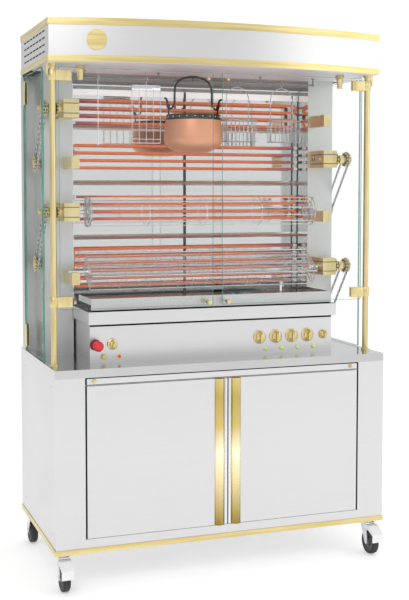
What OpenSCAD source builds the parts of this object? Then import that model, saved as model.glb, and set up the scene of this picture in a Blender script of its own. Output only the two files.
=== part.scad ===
// Floor-standing electric rotisserie oven on a wheeled base cabinet.
// Millimetres, +Z up, front towards -Y, origin on the floor under the middle of the bounding box.

/* [Base cabinet] */
// Width of the base cabinet
cab_w = 1375; // [1340:5:1400]
// Depth of the base cabinet
cab_d = 672; // [660:2:690]
// Height of the cabinet floor above the ground
cab_z = 144; // [142:1:150]
// Height of the counter's top face
counter_z = 843; // [835:1:855]
// Thickness of the folded sheet
sheet = 2; // [1.5:0.5:2.5]
// Width of each front stile
stile_w = 115; // [110:1:120]
// Width of each brass door handle
handle_w = 41; // [36:1:44]

/* [Oven] */
// Height of the cornice's lower edge
cornice_z = 1988; // [1980:1:1996]
// Height of the cornice
cornice_h = 162; // [150:1:170]
// How far the cornice's front bows forward
bow = 94; // [80:1:96]
// Radius of the two brass front posts
post_r = 12; // [10:0.5:13]
// Half width of the recess that holds the heating elements
recess_x = 524; // [518:1:528]
// Depth position of the recess's back wall
recess_y = 185; // [180:1:190]
// Radius of the heating tubes
tube_r = 4.5; // [4:0.5:5.5]

/* [Spits] */
// Depth position of the spit axes
spit_y = -45; // [-50:1:-40]
// Radius of the spit spindle in its bearing
spindle_r = 12; // [10:0.5:13]
// Outer radius of a chain wheel
wheel_disc_r = 32; // [30:0.5:33]
// Radius of the round wire basket
round_basket_r = 60; // [50:1:64]

/* [Casters] */
// Radius of a caster's wheel
caster_r = 50; // [45:1:52]
// Distance of a caster's swivel pin from the cabinet's middle, across
caster_x = 650; // [640:1:652]
// Distance of a caster's swivel pin from the cabinet's middle, along the depth
caster_y = 275; // [265:1:280]
// Trail of a caster's wheel behind its swivel pin
caster_trail = 33; // [28:1:36]

/* [Hidden] */
$fn = 48;

// Shift of the cabinet's middle that puts the origin under the middle of the bounding box.
pedal_reach = 63;
pedal_pin = [-25, 112];
front_reach = caster_y + caster_trail + pedal_reach;
rear_reach = caster_y + caster_trail + caster_r;
oy = (front_reach - rear_reach) / 2;

hw = cab_w / 2;
hd = cab_d / 2;
slab_h = 32;
slab_z = counter_z - slab_h;
trim_t = 3;
base_trim_h = 20;
plinth_top = cab_z + 54;
run_gap = 0.05;

// Doors and pull-out board of the base
opening_x = hw - stile_w;
board_z0 = 785;
board_z1 = 807;
board_reach = 500;
door_x1 = opening_x - 7;
door_z0 = plinth_top + 1.5;
door_z1 = 779;
door_t = 20;
door_pin_x = door_x1 - 8.5;
door_pin_y = -hd + 10;
door_pin_r = 4;
handle_x0 = 14;
handle_rise = 14;

// Tiers under the oven chamber
panel_x = 518;
panel_y = -195;
panel_top = 988;
tray_x = 528;
tray_y = -219;
tray_z0 = 994;
tray_z1 = 1043;
tray_back = 46;
sill_x = 512;
sill_y = -194;
sill_z0 = 1047;
sill_z1 = 1092;
ceiling_z = cornice_z - 2;

// Rear casing in plan
wing_x = 641;
wing_y = 50;
shoulder_y = 245;
casing_back = 294;
casing_z0 = counter_z;

// Cornice in plan
cornice_x = 688;
cornice_front = -272;
cornice_back = 274;
bow_r = (cornice_x * cornice_x + bow * bow) / (2 * bow);
bow_cy = cornice_front - bow + bow_r;
strip_top = 26;
strip_low = 24;

// Posts and front doors
post_x = 664;
post_y = -221;
glass_t = 6;
gdoor_x0 = 19;
gdoor_x1 = 640;
gdoor_z0 = 1057;
gdoor_z1 = 1975;
plate_h = 42;
plate_z = [1066, 1923];
knob_x = 41;

// Side glasses
side_t = 8;
side_x = 679;
side_y0 = -125;
side_y1 = 230;
side_z0 = counter_z + 3;
side_z1 = ceiling_z - 4;
side_pin_y = 238;
side_pin_x = side_x + side_t / 2;
side_hinge_z = [858, 1862];
side_hinge_h = 100;

// Spit rows from the top; side is -1 where the drive is at the left
spit_z = [1832, 1645, 1426, 1187];
drive_side = [-1, 1, -1, 1];
arm_front = spit_y - 47;
arm_in = 530;
arm_out = 592;
idle_out = 562;
arm_half = 36;
idle_drop = 48;
arm_groove_z = 18;
wheel_x0 = 650;
wheel_t = 5;
wheel_gap = 10;
wheel_x1 = wheel_x0 + 2 * wheel_t + wheel_gap;
wheel_teeth = 12;
guard_x = 612;
motor_dy = 165;
motor_dz = -213;
motor_shaft_r = 6;
socket = 14;
tip_r = 7;
basket_x = 488;
wire_r = 2;

// Heating tubes: rows from the top, with the height of the first tube and the number of tubes
row_top = [1884, 1699, 1485, 1268];
row_tubes = [4, 4, 4, 6];
tube_pitch = 31;
tube_y = 135;
ridge_z = [1774, 1544, 1316];
bend_x = 508;
clip_x = 478;
clip_half = 6;
bar_t = 6;

// Panel fittings
knob_z = 914;
knob_x0 = 194;
knob_pitch = 71.5;
lamp_z = 866;
lamp_dx = 26.5;
stop_x = -497;
key_x = -428;
start_x = -463;
red_x = -401;
shaft_r = 3;

// Utensils
rail_z = 1958;
rail_r = 4;
rail_ring_r = rail_r + 1.9;
cauldron_x = -44;
cauldron_r = 121;
cauldron_pin_z = 1850;
bail_r = 4.5;
bail_y = spit_y - rail_r - 1 - bail_r;
band_z0 = 1806;
band_z1 = 1818;
grill_x = -240;
hang_x = [156, 356];

module at_cabinet() translate([0, oy, 0]) children();

// A box from its two corners
module box(p, q) translate(p) cube(q - p);

// A rod between two heights, depths or sides, along one axis
module rod_x(x0, x1, y, z, r) translate([x0, y, z]) rotate([0, 90, 0]) cylinder(h = x1 - x0, r = r);
module rod_y(y0, y1, x, z, r) translate([x, y1, z]) rotate([90, 0, 0]) cylinder(h = y1 - y0, r = r);
module rod_z(z0, z1, x, y, r) translate([x, y, z0]) cylinder(h = z1 - z0, r = r);

// Children at the left, or mirrored to the right
module on_side(s) mirror([s > 0 ? 1 : 0, 0, 0]) children();
module both_sides() for (s = [-1, 1]) on_side(s) children();

// ---------------------------------------------------------------- base cabinet

module base_carcass() {
    color("gainsboro") at_cabinet() {
        difference() {
            box([-hw, -hd, cab_z], [hw, hd, slab_z]);
            box([-hw + sheet, -hd + sheet, cab_z + sheet], [hw - sheet, hd - sheet, slab_z + 1]);
            box([-opening_x, -hd - 1, plinth_top], [opening_x, -hd + sheet + 1, slab_z + 1]);
        }
        both_sides() {
            // Inner wall of the stile, which also guides the pull-out board
            box([-opening_x - sheet, -hd + sheet, cab_z + sheet], [-opening_x, -hd + 60, slab_z]);
            // Runner under the board
            box([-opening_x, -hd + 60, board_z0 - 3], [-opening_x + 22, hd - sheet, board_z0 - 0.4]);
            box([-hw + sheet, -hd + 60, board_z0 - 3], [-opening_x, hd - sheet, board_z0 - 0.4]);
            // Caster plate with its swivel pin
            for (y = [-caster_y, caster_y]) {
                box([-caster_x - 34, y - 34, cab_z - 4], [-caster_x + 34, y + 34, cab_z]);
                rod_z(cab_z - 12, cab_z - 4, -caster_x, y, 8);
            }
        }
        // Threshold behind the doors, and the rail above them
        box([-opening_x, -hd + sheet, plinth_top - sheet], [opening_x, -hd + 60, plinth_top]);
        box([-opening_x, -hd + 4, door_z1 + 1.5], [opening_x, -hd + 30, door_z1 + 3]);
        // Pivot pins of the doors
        both_sides() {
            rod_z(plinth_top, door_z0 + 9, -door_pin_x, door_pin_y, door_pin_r);
            rod_z(door_z1 - 9, door_z1 + 1.5, -door_pin_x, door_pin_y, door_pin_r);
        }
    }
}

module counter_top() {
    color("gainsboro") at_cabinet() difference() {
        box([-hw, -hd, slab_z], [hw, hd, counter_z]);
        box([-hw + sheet, -hd + sheet, slab_z - 1], [hw - sheet, hd - sheet, counter_z - sheet]);
    }
}

module base_door_left() {
    color("gainsboro") at_cabinet() door_pan();
}

module base_door_right() {
    color("gainsboro") at_cabinet() on_side(1) door_pan();
}

// Left door: a folded pan with two pivot blocks
module door_pan() {
    difference() {
        union() {
            difference() {
                box([-door_x1, -hd, door_z0], [-2, -hd + door_t, door_z1]);
                box([-door_x1 + sheet, -hd + sheet, door_z0 + sheet],
                    [-2 - sheet, -hd + door_t + 1, door_z1 - sheet]);
            }
            for (z = [door_z0, door_z1 - 14])
                box([-door_x1 + sheet, -hd + sheet, z], [-door_x1 + 20, -hd + door_t, z + 14]);
        }
        rod_z(door_z0 - 1, door_z0 + 11, -door_pin_x, door_pin_y, door_pin_r + run_gap);
        rod_z(door_z1 - 11, door_z1 + 1, -door_pin_x, door_pin_y, door_pin_r + run_gap);
    }
}

module base_handle_left() {
    color("goldenrod") at_cabinet() handle_bar();
}

module base_handle_right() {
    color("goldenrod") at_cabinet() on_side(1) handle_bar();
}

// Full-height handle: an arched strip with closed ends
module handle_bar() {
    r = (handle_w * handle_w / 4 + handle_rise * handle_rise) / (2 * handle_rise);
    mid = -handle_x0 - handle_w / 2;
    translate([mid, -hd - handle_rise + r, door_z0]) {
        difference() {
            arch_slice(r, r, door_z1 - door_z0);
            translate([0, 0, sheet]) arch_slice(r - sheet, r, door_z1 - door_z0 - 2 * sheet);
        }
    }
}

// Slice of a cylinder in front of the door's face
module arch_slice(r, full_r, h) {
    intersection() {
        cylinder(h = h, r = r, $fn = 96);
        translate([-handle_w, -full_r - 1, -1]) cube([2 * handle_w, handle_rise + 1, h + 2]);
    }
}

module pull_board() {
    color("silver") at_cabinet() {
        difference() {
            box([-door_x1, -hd, board_z0], [door_x1, -hd + board_reach, board_z1]);
            box([-door_x1 + sheet, -hd + sheet, board_z0 - 1],
                [door_x1 - sheet, -hd + board_reach - sheet, board_z1 - sheet]);
        }
        for (x = [-537, 537])
            rod_y(-hd - 12, -hd, x, (board_z0 + board_z1) / 2, 6.5);
    }
}

// ---------------------------------------------------------------- brass strips and cornice

// Plan of the cornice with its bowed front, grown outwards by g at the front and sides
module cornice_plan(g) {
    intersection() {
        translate([0, bow_cy]) circle(r = bow_r + g, $fn = 360);
        translate([-cornice_x - g, -500]) square([2 * (cornice_x + g), 500 + cornice_back]);
    }
}

module cornice_strip(z, h) {
    translate([0, 0, z]) linear_extrude(h) difference() {
        cornice_plan(trim_t);
        cornice_plan(0);
    }
}

module brass_trim() {
    color("goldenrod") at_cabinet() {
        difference() {
            box([-hw - trim_t, -hd - trim_t, cab_z], [hw + trim_t, hd, cab_z + base_trim_h]);
            box([-hw, -hd, cab_z - 1], [hw, hd + 1, cab_z + base_trim_h + 1]);
        }
        cornice_strip(cornice_z, strip_low);
        cornice_strip(cornice_z + cornice_h - strip_top, strip_top);
        badge();
    }
}

// Plain round badge on the bowed front
module badge() {
    a = asin(515 / bow_r);
    translate([0, bow_cy, 2070]) rotate([0, 0, -a]) translate([0, -bow_r, 0]) rotate([90, 0, 0]) {
        cylinder(h = 3, r = 38);
        difference() {
            cylinder(h = 5, r = 38);
            translate([0, 0, -1]) cylinder(h = 7, r = 33);
        }
        cylinder(h = 5, r = 14);
    }
}

module cornice_shell() {
    slot_l = 50;
    slot_step = 60;
    color("gainsboro") at_cabinet() difference() {
        translate([0, 0, cornice_z]) linear_extrude(cornice_h) cornice_plan(0);
        translate([0, 0, cornice_z - 1]) linear_extrude(cornice_h + 1 - sheet) intersection() {
            translate([0, bow_cy]) circle(r = bow_r - sheet, $fn = 360);
            translate([-cornice_x + sheet, -500]) square([2 * (cornice_x - sheet), 500 + cornice_back - sheet]);
        }
        for (z = [2029:26:2109]) for (i = [0:6])
            box([-cornice_x - 9, -205 + i * slot_step, z], [cornice_x + 9, -205 + i * slot_step + slot_l, z + 6]);
    }
}

module ceiling_panel() {
    color("dimgray") at_cabinet() {
        difference() {
            translate([0, 0, ceiling_z]) linear_extrude(2) intersection() {
                translate([0, bow_cy]) circle(r = bow_r - sheet, $fn = 360);
                translate([-cornice_x + sheet, -500]) square([2 * (cornice_x - sheet), 500 + wing_y]);
            }
            both_sides() rod_z(ceiling_z - 1, ceiling_z + 3, -550, -195, 5);
        }
        // Sloping back of the hood
        translate([-recess_x + 2, 0, 0]) rotate([90, 0, 90]) linear_extrude(2 * recess_x - 4)
            polygon([[wing_y, ceiling_z], [wing_y, ceiling_z + 2], [wing_y + 4, ceiling_z + 2],
                     [recess_y - 3, 1939], [recess_y - 3, 1935], [recess_y - 5, 1935]]);
    }
}

// ---------------------------------------------------------------- casing and oven chamber

// Plan of the rear casing: a wide back with two wings beside the recess, inset by t
module casing_plan(t) {
    w = hw - 0.5;
    half = [[w - t, casing_back - t], [w - t, shoulder_y + t], [wing_x - t, shoulder_y + t],
            [wing_x - t, wing_y + t], [recess_x + t, wing_y + t], [recess_x + t, recess_y + 2 + t]];
    mirrored = [for (i = [5:-1:0]) [-half[i][0], half[i][1]]];
    polygon(concat(half, mirrored));
}

module rear_casing() {
    color("gainsboro") at_cabinet() difference() {
        translate([0, 0, casing_z0]) linear_extrude(ceiling_z - casing_z0) casing_plan(0);
        translate([0, 0, casing_z0 + sheet]) linear_extrude(ceiling_z - casing_z0 - 2 * sheet)
            casing_plan(sheet);
        // Holes for the motor shafts
        for (i = [0:3])
            on_side(drive_side[i])
                rod_x(-wing_x - 1, -wing_x + sheet + 1, spit_y + motor_dy, spit_z[i] + motor_dz, 14);
        // Cable inlet at the back
        rod_y(casing_back - sheet - 1, casing_back + 1, 560, 900, 13);
    }
}

module cavity_liner() {
    color("lightgray") at_cabinet() {
        // Back reflector with its ridges
        box([-recess_x + 2, recess_y - 2, sill_z0 + 2], [recess_x - 2, recess_y, 1937]);
        for (z = ridge_z)
            translate([-recess_x + 2, 0, z]) rotate([90, 0, 90]) linear_extrude(2 * recess_x - 4)
                polygon([[recess_y - 2, 9], [recess_y - 26, 1], [recess_y - 26, -1], [recess_y - 2, -9]]);
        // Side reflectors
        both_sides() box([-recess_x, wing_y, sill_z0 + 2], [-recess_x + 2, recess_y, ceiling_z - 4]);
        // Sill: a floor with a wide drain opening, and a lip on three sides
        difference() {
            box([-sill_x, sill_y, sill_z0], [sill_x, recess_y, sill_z0 + 2]);
            box([-440, -130, sill_z0 - 1], [440, 40, sill_z0 + 3]);
        }
        box([-sill_x, sill_y, sill_z0], [sill_x, sill_y + 2, sill_z1]);
        both_sides() box([-sill_x, sill_y, sill_z0], [-sill_x + 2, wing_y, sill_z1]);
        both_sides() box([-recess_x, wing_y, sill_z0], [-sill_x, recess_y, sill_z0 + 2]);
    }
}

module control_box() {
    riser_y = 60;
    color("gainsboro") at_cabinet() {
        difference() {
            box([-panel_x, panel_y, counter_z], [panel_x, recess_y, panel_top]);
            box([-panel_x + sheet, panel_y + sheet, counter_z - 1],
                [panel_x - sheet, recess_y + 1, panel_top - sheet]);
            for (i = [0:3])
                rod_y(panel_y - 1, panel_y + 3, knob_x0 + i * knob_pitch, knob_z, shaft_r + run_gap);
            for (x = [knob_x0 + 4 * knob_pitch, key_x, stop_x])
                rod_y(panel_y - 1, panel_y + 3, x, knob_z, shaft_r + run_gap);
            rod_y(panel_y - 1, panel_y + 3, start_x, lamp_z, shaft_r + run_gap);
        }
        // Runners for the drip tray, and the riser that carries the sill
        both_sides() box([-500, panel_y + 6, panel_top], [-480, riser_y, tray_z0 - 0.4]);
        difference() {
            box([-sill_x, riser_y, panel_top], [sill_x, recess_y, sill_z0]);
            box([-sill_x + sheet, riser_y + sheet, panel_top - 1],
                [sill_x - sheet, recess_y + 1, sill_z0 - sheet]);
        }
    }
}

module drip_tray() {
    color("silver") at_cabinet() {
        difference() {
            box([-tray_x, tray_y, tray_z0], [tray_x, tray_back, tray_z1]);
            box([-tray_x + sheet, tray_y + sheet, tray_z0 + sheet],
                [tray_x - sheet, tray_back - sheet, tray_z1 + 1]);
        }
    }
}

// ---------------------------------------------------------------- posts and glass

// Front posts that the glass doors turn on, and the rear hinge pins of the side glasses
module hinge_posts() {
    pin_reach = 12;
    color("goldenrod") at_cabinet() both_sides() {
        rod_z(counter_z, ceiling_z, -post_x, post_y, post_r);
        rod_z(counter_z, counter_z + 8, -post_x, post_y, post_r + 4);
        rod_z(ceiling_z - 8, ceiling_z, -post_x, post_y, post_r + 4);
        box([-post_x - 24, post_y - 5, ceiling_z - 42], [-post_x - 17, post_y + 5, ceiling_z]);
        box([-post_x - 24, post_y - 5, ceiling_z - 18], [-post_x, post_y + 5, ceiling_z]);
        for (z = side_hinge_z) {
            rod_z(z - pin_reach, z + side_hinge_h + pin_reach, -side_pin_x, side_pin_y, 2.5);
            for (end = [z - pin_reach, z + side_hinge_h + 1])
                box([-side_pin_x - 4, side_pin_y - 4, end], [-side_pin_x + 4, shoulder_y, end + pin_reach - 1]);
        }
    }
}

module glass_door_left() {
    color("lightcyan", 0.4) at_cabinet() glass_door();
}

module glass_door_right() {
    color("lightcyan", 0.4) at_cabinet() on_side(1) glass_door();
}

// Left door: pane, two hinge plates that turn on the post, knob and catch
module glass_door() {
    box([-gdoor_x1, post_y - glass_t / 2, gdoor_z0], [-gdoor_x0, post_y + glass_t / 2, gdoor_z1]);
    for (z = plate_z) {
        difference() {
            union() {
                box([-post_x + 10, post_y - 7, z], [-592, post_y - glass_t / 2, z + plate_h]);
                box([-post_x + 10, post_y + glass_t / 2, z], [-592, post_y + 7, z + plate_h]);
                rod_z(z, z + plate_h, -post_x, post_y, post_r + 3);
            }
            rod_z(z - 1, z + plate_h + 1, -post_x, post_y, post_r + run_gap);
        }
    }
    rod_y(post_y - 26, post_y - glass_t / 2, -knob_x, 1068, 9);
    rod_y(post_y + glass_t / 2, post_y + 8, -knob_x, 1068, 7);
    rod_y(post_y - 13, post_y - glass_t / 2, -knob_x, 1950, 5);
}

module side_glass_left() {
    color("lightcyan", 0.4) at_cabinet() side_glass();
}

module side_glass_right() {
    color("lightcyan", 0.4) at_cabinet() on_side(1) side_glass();
}

// Left side glass: pane with two hinge leaves and their knuckles
module side_glass() {
    box([-side_x - side_t, side_y0, side_z0], [-side_x, side_y1, side_z1]);
    for (z = side_hinge_z) {
        difference() {
            union() {
                box([-side_x - side_t - 1.5, side_y1 - 22, z], [-side_x - side_t, side_pin_y, z + side_hinge_h]);
                box([-side_x - side_t, side_y1, z], [-side_x, side_pin_y, z + side_hinge_h]);
                rod_z(z, z + side_hinge_h, -side_pin_x, side_pin_y, 5);
            }
            rod_z(z - 1, z + side_hinge_h + 1, -side_pin_x, side_pin_y, 2.5 + run_gap);
        }
    }
}

// ---------------------------------------------------------------- heating

// Hairpin of two tubes: the bend at the right end, straight ends at the left
module hairpin(z_top) {
    r = tube_pitch / 2;
    for (z = [z_top, z_top - tube_pitch]) rod_x(-bend_x + 8, bend_x - r - tube_r, tube_y, z, tube_r);
    translate([bend_x - r - tube_r, tube_y, z_top - r]) rotate([90, 0, 0]) intersection() {
        rotate_extrude($fn = 64) translate([r, 0]) circle(r = tube_r, $fn = 24);
        translate([0, -40, -10]) cube([40, 80, 20]);
    }
}

module heating_elements() {
    color("orangered") at_cabinet()
        for (row = [0:3])
            for (k = [0:2:row_tubes[row] - 2])
                on_side(row % 2 == 0 ? -1 : 1) hairpin(row_top[row] - k * tube_pitch);
}

module element_supports() {
    color("darkslategray") at_cabinet() {
        // Ceramic sleeves where the straight ends enter the side wall
        for (row = [0:3])
            for (k = [0:row_tubes[row] - 1])
                on_side(row % 2 == 0 ? -1 : 1)
                    rod_x(-recess_x + 2, -bend_x + 8, tube_y, row_top[row] - k * tube_pitch, tube_r + 2.5);
        // Upright bars between the reflector's ridges: a wide one in the middle and a thin one near each side
        difference() {
            for (bar = [[-508, 2], [0, 5], [508, 2]])
                box([bar[0] - bar[1], recess_y - 2 - bar_t, sill_z0 + 2], [bar[0] + bar[1], recess_y - 2, 1933]);
            for (z = ridge_z)
                box([-recess_x, recess_y - 9, z - 9.2], [recess_x, recess_y, z + 9.2]);
        }
        // Clips that hold the tubes off the reflector near their bends
        for (row = [0:3])
            for (k = [0:row_tubes[row] - 2])
                on_side(row % 2 == 0 ? 1 : -1)
                    box([-clip_x - clip_half, tube_y - 3, row_top[row] - (k + 1) * tube_pitch + tube_r],
                        [-clip_x + clip_half, recess_y - 2, row_top[row] - k * tube_pitch - tube_r]);
    }
}

// ---------------------------------------------------------------- spit drives

module spit_arms() {
    color("goldenrod") at_cabinet() for (i = [0:3]) {
        z = spit_z[i];
        on_side(drive_side[i]) difference() {
            box([-arm_out, arm_front, z - arm_half], [-arm_in, wing_y, z + arm_half]);
            rod_x(-arm_out - 1, -arm_in + 1, spit_y, z, spindle_r + run_gap);
            // Grooves between the clamp block and its two flanges
            for (groove = [-arm_groove_z - 3, arm_groove_z])
                box([-arm_out - 1, arm_front - 1, z + groove], [-arm_in + 1, arm_front + 8, z + groove + 3]);
        }
        on_side(-drive_side[i]) difference() {
            box([-idle_out, arm_front, z - idle_drop], [-arm_in, wing_y, z]);
            rod_x(-idle_out - 1, -arm_in + 1, spit_y, z, tip_r + run_gap);
        }
    }
}

// Disc with round lobes, lying along X from x
module lobed_disc(x) {
    lobe_r = 5;
    translate([x, 0, 0]) rotate([0, 90, 0]) {
        cylinder(h = wheel_t, r = wheel_disc_r - 4);
        for (k = [0:wheel_teeth - 1]) rotate([0, 0, k * 360 / wheel_teeth])
            translate([wheel_disc_r - lobe_r, 0, 0]) cylinder(h = wheel_t, r = lobe_r, $fn = 24);
    }
}

// Chain wheel: two lobed discs with a grooved core
module chain_wheel(x0) {
    for (x = [x0, x0 + wheel_t + wheel_gap]) lobed_disc(x);
    rod_x(x0, x0 + 2 * wheel_t + wheel_gap, 0, 0, 23);
}

// Spindle of row i with its chain wheel and its square socket
module spindle(i) {
    color("goldenrod") at_cabinet() on_side(drive_side[i]) translate([0, spit_y, spit_z[i]]) {
        difference() {
            union() {
                rod_x(-arm_out - 4, -arm_in + 6, 0, 0, spindle_r);
                rod_x(-wheel_x0 - 0.5, -arm_out - 1, 0, 0, 19);
                lobed_disc(-guard_x);
            }
            box([-arm_in - 26, -socket / 2, -socket / 2], [-arm_in + 7, socket / 2, socket / 2]);
        }
        translate([-wheel_x0 - wheel_x1, 0, 0]) chain_wheel(wheel_x0);
        translate([-677, 0, 0]) rotate([0, 90, 0]) cylinder(h = 8, r = 11, $fn = 6);
    }
}

module motor_wheel(i) {
    color("goldenrod") at_cabinet() on_side(drive_side[i])
        translate([0, spit_y + motor_dy, spit_z[i] + motor_dz]) {
            translate([-wheel_x0 - wheel_x1, 0, 0]) chain_wheel(wheel_x0);
            rod_x(-wheel_x0 - 0.5, -600, 0, 0, motor_shaft_r);
        }
}

module gearmotors() {
    color("dimgray") at_cabinet() for (i = [0:3]) on_side(drive_side[i])
        translate([0, spit_y + motor_dy, spit_z[i] + motor_dz]) {
            difference() {
                union() {
                    box([-wing_x + sheet, -26, -36], [-590, 40, 36]);
                    rod_x(-590, -532, 18, 0, 24);
                }
                rod_x(-wing_x + sheet - 1, -595, 0, 0, motor_shaft_r + run_gap);
            }
        }
}

// Outline of a chain loop of radius r round two wheels that stand d apart
function loop_points(r, d) = concat(
    [for (a = [-90:10:90]) [d + r * cos(a), r * sin(a)]],
    [for (a = [90:10:270]) [r * cos(a), r * sin(a)]]);

module drive_chains() {
    d = norm([motor_dy, motor_dz]);
    tilt = atan2(motor_dz, motor_dy);
    color("silver") at_cabinet() for (i = [0:3]) on_side(drive_side[i])
        translate([-wheel_x1 + wheel_t + 0.5, spit_y, spit_z[i]])
            rotate([tilt, 0, 0]) rotate([90, 0, 90]) linear_extrude(wheel_gap - 1)
                difference() {
                    polygon(loop_points(30, d));
                    polygon(loop_points(24, d));
                }
}

// ---------------------------------------------------------------- baskets on the spits

// Shank for the drive socket at the left end, and round tip at the other
module basket_ends(x_end) {
    box([-arm_in - 24, -6.8, -6.8], [-arm_in + 12, 6.8, 6.8]);
    rod_x(-arm_in + 11, -x_end, 0, 0, 6);
    rod_x(x_end, idle_out + 4, 0, 0, tip_r);
}

// Flat ring round the X axis
module hoop(x) {
    translate([x - wire_r, 0, 0]) rotate([0, 90, 0]) difference() {
        cylinder(h = 2 * wire_r, r = round_basket_r, $fn = 64);
        translate([0, 0, -1]) cylinder(h = 2 * wire_r + 2, r = round_basket_r - 2 * wire_r, $fn = 64);
    }
}

module round_basket() {
    rods = 12;
    y = round_basket_r - wire_r;
    color("silver") at_cabinet() translate([0, spit_y, spit_z[2]]) {
        basket_ends(basket_x);
        for (x = [-basket_x / 2, 0, basket_x / 2]) hoop(x);
        for (k = [0:rods - 1]) rotate([(k + 0.5) * 360 / rods, 0, 0])
            box([-basket_x, y - wire_r, -wire_r], [basket_x, y + wire_r * 0.7, wire_r]);
        // End plates
        for (x = [-basket_x - 1.5, basket_x - 1.5]) translate([x, 0, 0]) rotate([0, 90, 0])
            cylinder(h = 3, r = round_basket_r, $fn = 64);
    }
}

module flat_basket() {
    half_l = 70;
    half_t = 37;
    tilt = 38;
    w = wire_r;
    color("silver") at_cabinet() on_side(1) translate([0, spit_y, spit_z[3]]) {
        basket_ends(basket_x);
        rotate([tilt, 0, 0]) {
            for (y = [-half_l:28:half_l]) for (z = [-half_t, half_t])
                box([-basket_x, y - w, z - w], [basket_x, y + w, z + w]);
            for (y = [-half_l, half_l])
                box([-basket_x, y - w, -w], [basket_x, y + w, w]);
            for (x = [-basket_x / 3, basket_x / 3]) {
                for (z = [-half_t, half_t]) box([x - w, -half_l, z - w], [x + w, half_l, z + w]);
                for (y = [-half_l, half_l]) box([x - w, y - w, -half_t], [x + w, y + w, half_t]);
            }
            for (x = [-basket_x - 1.5, basket_x - 1.5])
                box([x, -half_l - w, -half_t - w], [x + 3, half_l + w, half_t + w]);
        }
    }
}

// ---------------------------------------------------------------- lamps, rail and panel fittings

module pendant_lamps() {
    cap_h = 16;
    cup_h = 38;
    socket_h = 10;
    color("goldenrod") at_cabinet() both_sides() translate([-550, -195, 0]) {
        rod_z(ceiling_z - cap_h, ceiling_z, 0, 0, 19);
        difference() {
            translate([0, 0, ceiling_z - cap_h - cup_h]) cylinder(h = cup_h + 1, r1 = 9, r2 = 14);
            rod_z(ceiling_z - cap_h - cup_h - 1, ceiling_z - cap_h - cup_h + socket_h, 0, 0, 7);
        }
    }
}

module utensil_rail() {
    color("darkgray") at_cabinet() {
        rod_x(-505, 505, spit_y, rail_z, rail_r);
        for (x = [-500, -190, 256, 500]) {
            rod_z(rail_z, ceiling_z, x, spit_y, 3);
            rod_z(ceiling_z - 3, ceiling_z, x, spit_y, 8);
        }
    }
}

module pilot_lamps() {
    color("yellowgreen") at_cabinet() {
        for (i = [0:3]) lamp_dome(knob_x0 + i * knob_pitch + lamp_dx);
        lamp_dome(red_x);
    }
}

module lamp_dome(x) {
    rod_y(panel_y - 3, panel_y, x, lamp_z, 9.5);
    rod_y(panel_y - 9, panel_y - 2, x, lamp_z, 6.5);
}

// Rotary knob with a bar grip, centred at x on the control panel
module bar_knob(x, r) {
    at_cabinet() translate([x, panel_y, knob_z]) {
        rod_y(-0.3 - 4, -0.3, 0, 0, r);
        rod_y(-12, -4, 0, 0, r * 0.72);
        box([-r * 0.16, -24, -r * 0.78], [r * 0.16, -4, r * 0.78]);
        rod_y(-1, 14, 0, 0, shaft_r);
    }
}

module heat_knob_1() { color("goldenrod") bar_knob(knob_x0, 28); }
module heat_knob_2() { color("goldenrod") bar_knob(knob_x0 + knob_pitch, 28); }
module heat_knob_3() { color("goldenrod") bar_knob(knob_x0 + 2 * knob_pitch, 28); }
module heat_knob_4() { color("goldenrod") bar_knob(knob_x0 + 3 * knob_pitch, 28); }
module light_knob() { color("goldenrod") bar_knob(knob_x0 + 4 * knob_pitch, 19); }
module key_switch() { color("goldenrod") bar_knob(key_x, 22); }

module stop_button() {
    color("red") at_cabinet() translate([stop_x, panel_y, knob_z]) {
        rod_y(-42, -10, 0, 0, 15);
        rod_y(-62, -41, 0, 0, 20);
        rod_y(-11, 20, 0, 0, shaft_r);
    }
}

module start_button() {
    color("gold") at_cabinet() translate([start_x, panel_y, lamp_z]) {
        rod_y(-10, -5, 0, 0, 8);
        rod_y(-6, 14, 0, 0, shaft_r);
    }
}

// ---------------------------------------------------------------- casters

// Fork: swivel disc, bearing cover, two legs and the axle; sy is -1 at the front
module caster_fork(sx, sy) {
    color("silver") at_cabinet() translate([sx * caster_x, sy * caster_y, 0]) {
        difference() {
            union() {
                rod_z(cab_z - 19, cab_z - 12.5, 0, 0, 27);
                rod_z(cab_z - 12.5, cab_z - 4.5, 0, 0, 22);
            }
            rod_z(cab_z - 25, cab_z - 3, 0, 0, 8 + run_gap);
        }
        difference() {
            for (s = [-1, 1]) translate([s * 19 - 1.5, 0, 0]) rotate([90, 0, 90]) linear_extrude(3)
                polygon([[sy * -20, cab_z - 13], [sy * 32, cab_z - 13], [sy * (caster_trail + 10), 60],
                         [sy * (caster_trail + 10), 44], [sy * (caster_trail - 10), 44]]);
            if (sy < 0) rod_x(-30, 30, pedal_pin[0], pedal_pin[1], 3 + run_gap);
        }
        rod_x(-20.5, 20.5, sy * caster_trail, caster_r, 5);
        rod_x(-24, 24, sy * caster_trail, caster_r, 4);
    }
}

module caster_wheel(sx, sy) {
    color("black") at_cabinet() translate([sx * caster_x, sy * (caster_y + caster_trail), caster_r])
        rotate([0, 90, 0]) difference() {
            rotate_extrude($fn = 96) polygon([
                [5 + run_gap, -16], [18, -16], [18, -12], [38, -12], [38, -15],
                [caster_r - 3, -15], [caster_r, -10], [caster_r, 10], [caster_r - 3, 15],
                [38, 15], [38, 12], [18, 12], [18, 16], [5 + run_gap, 16]]);
        }
}

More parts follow.
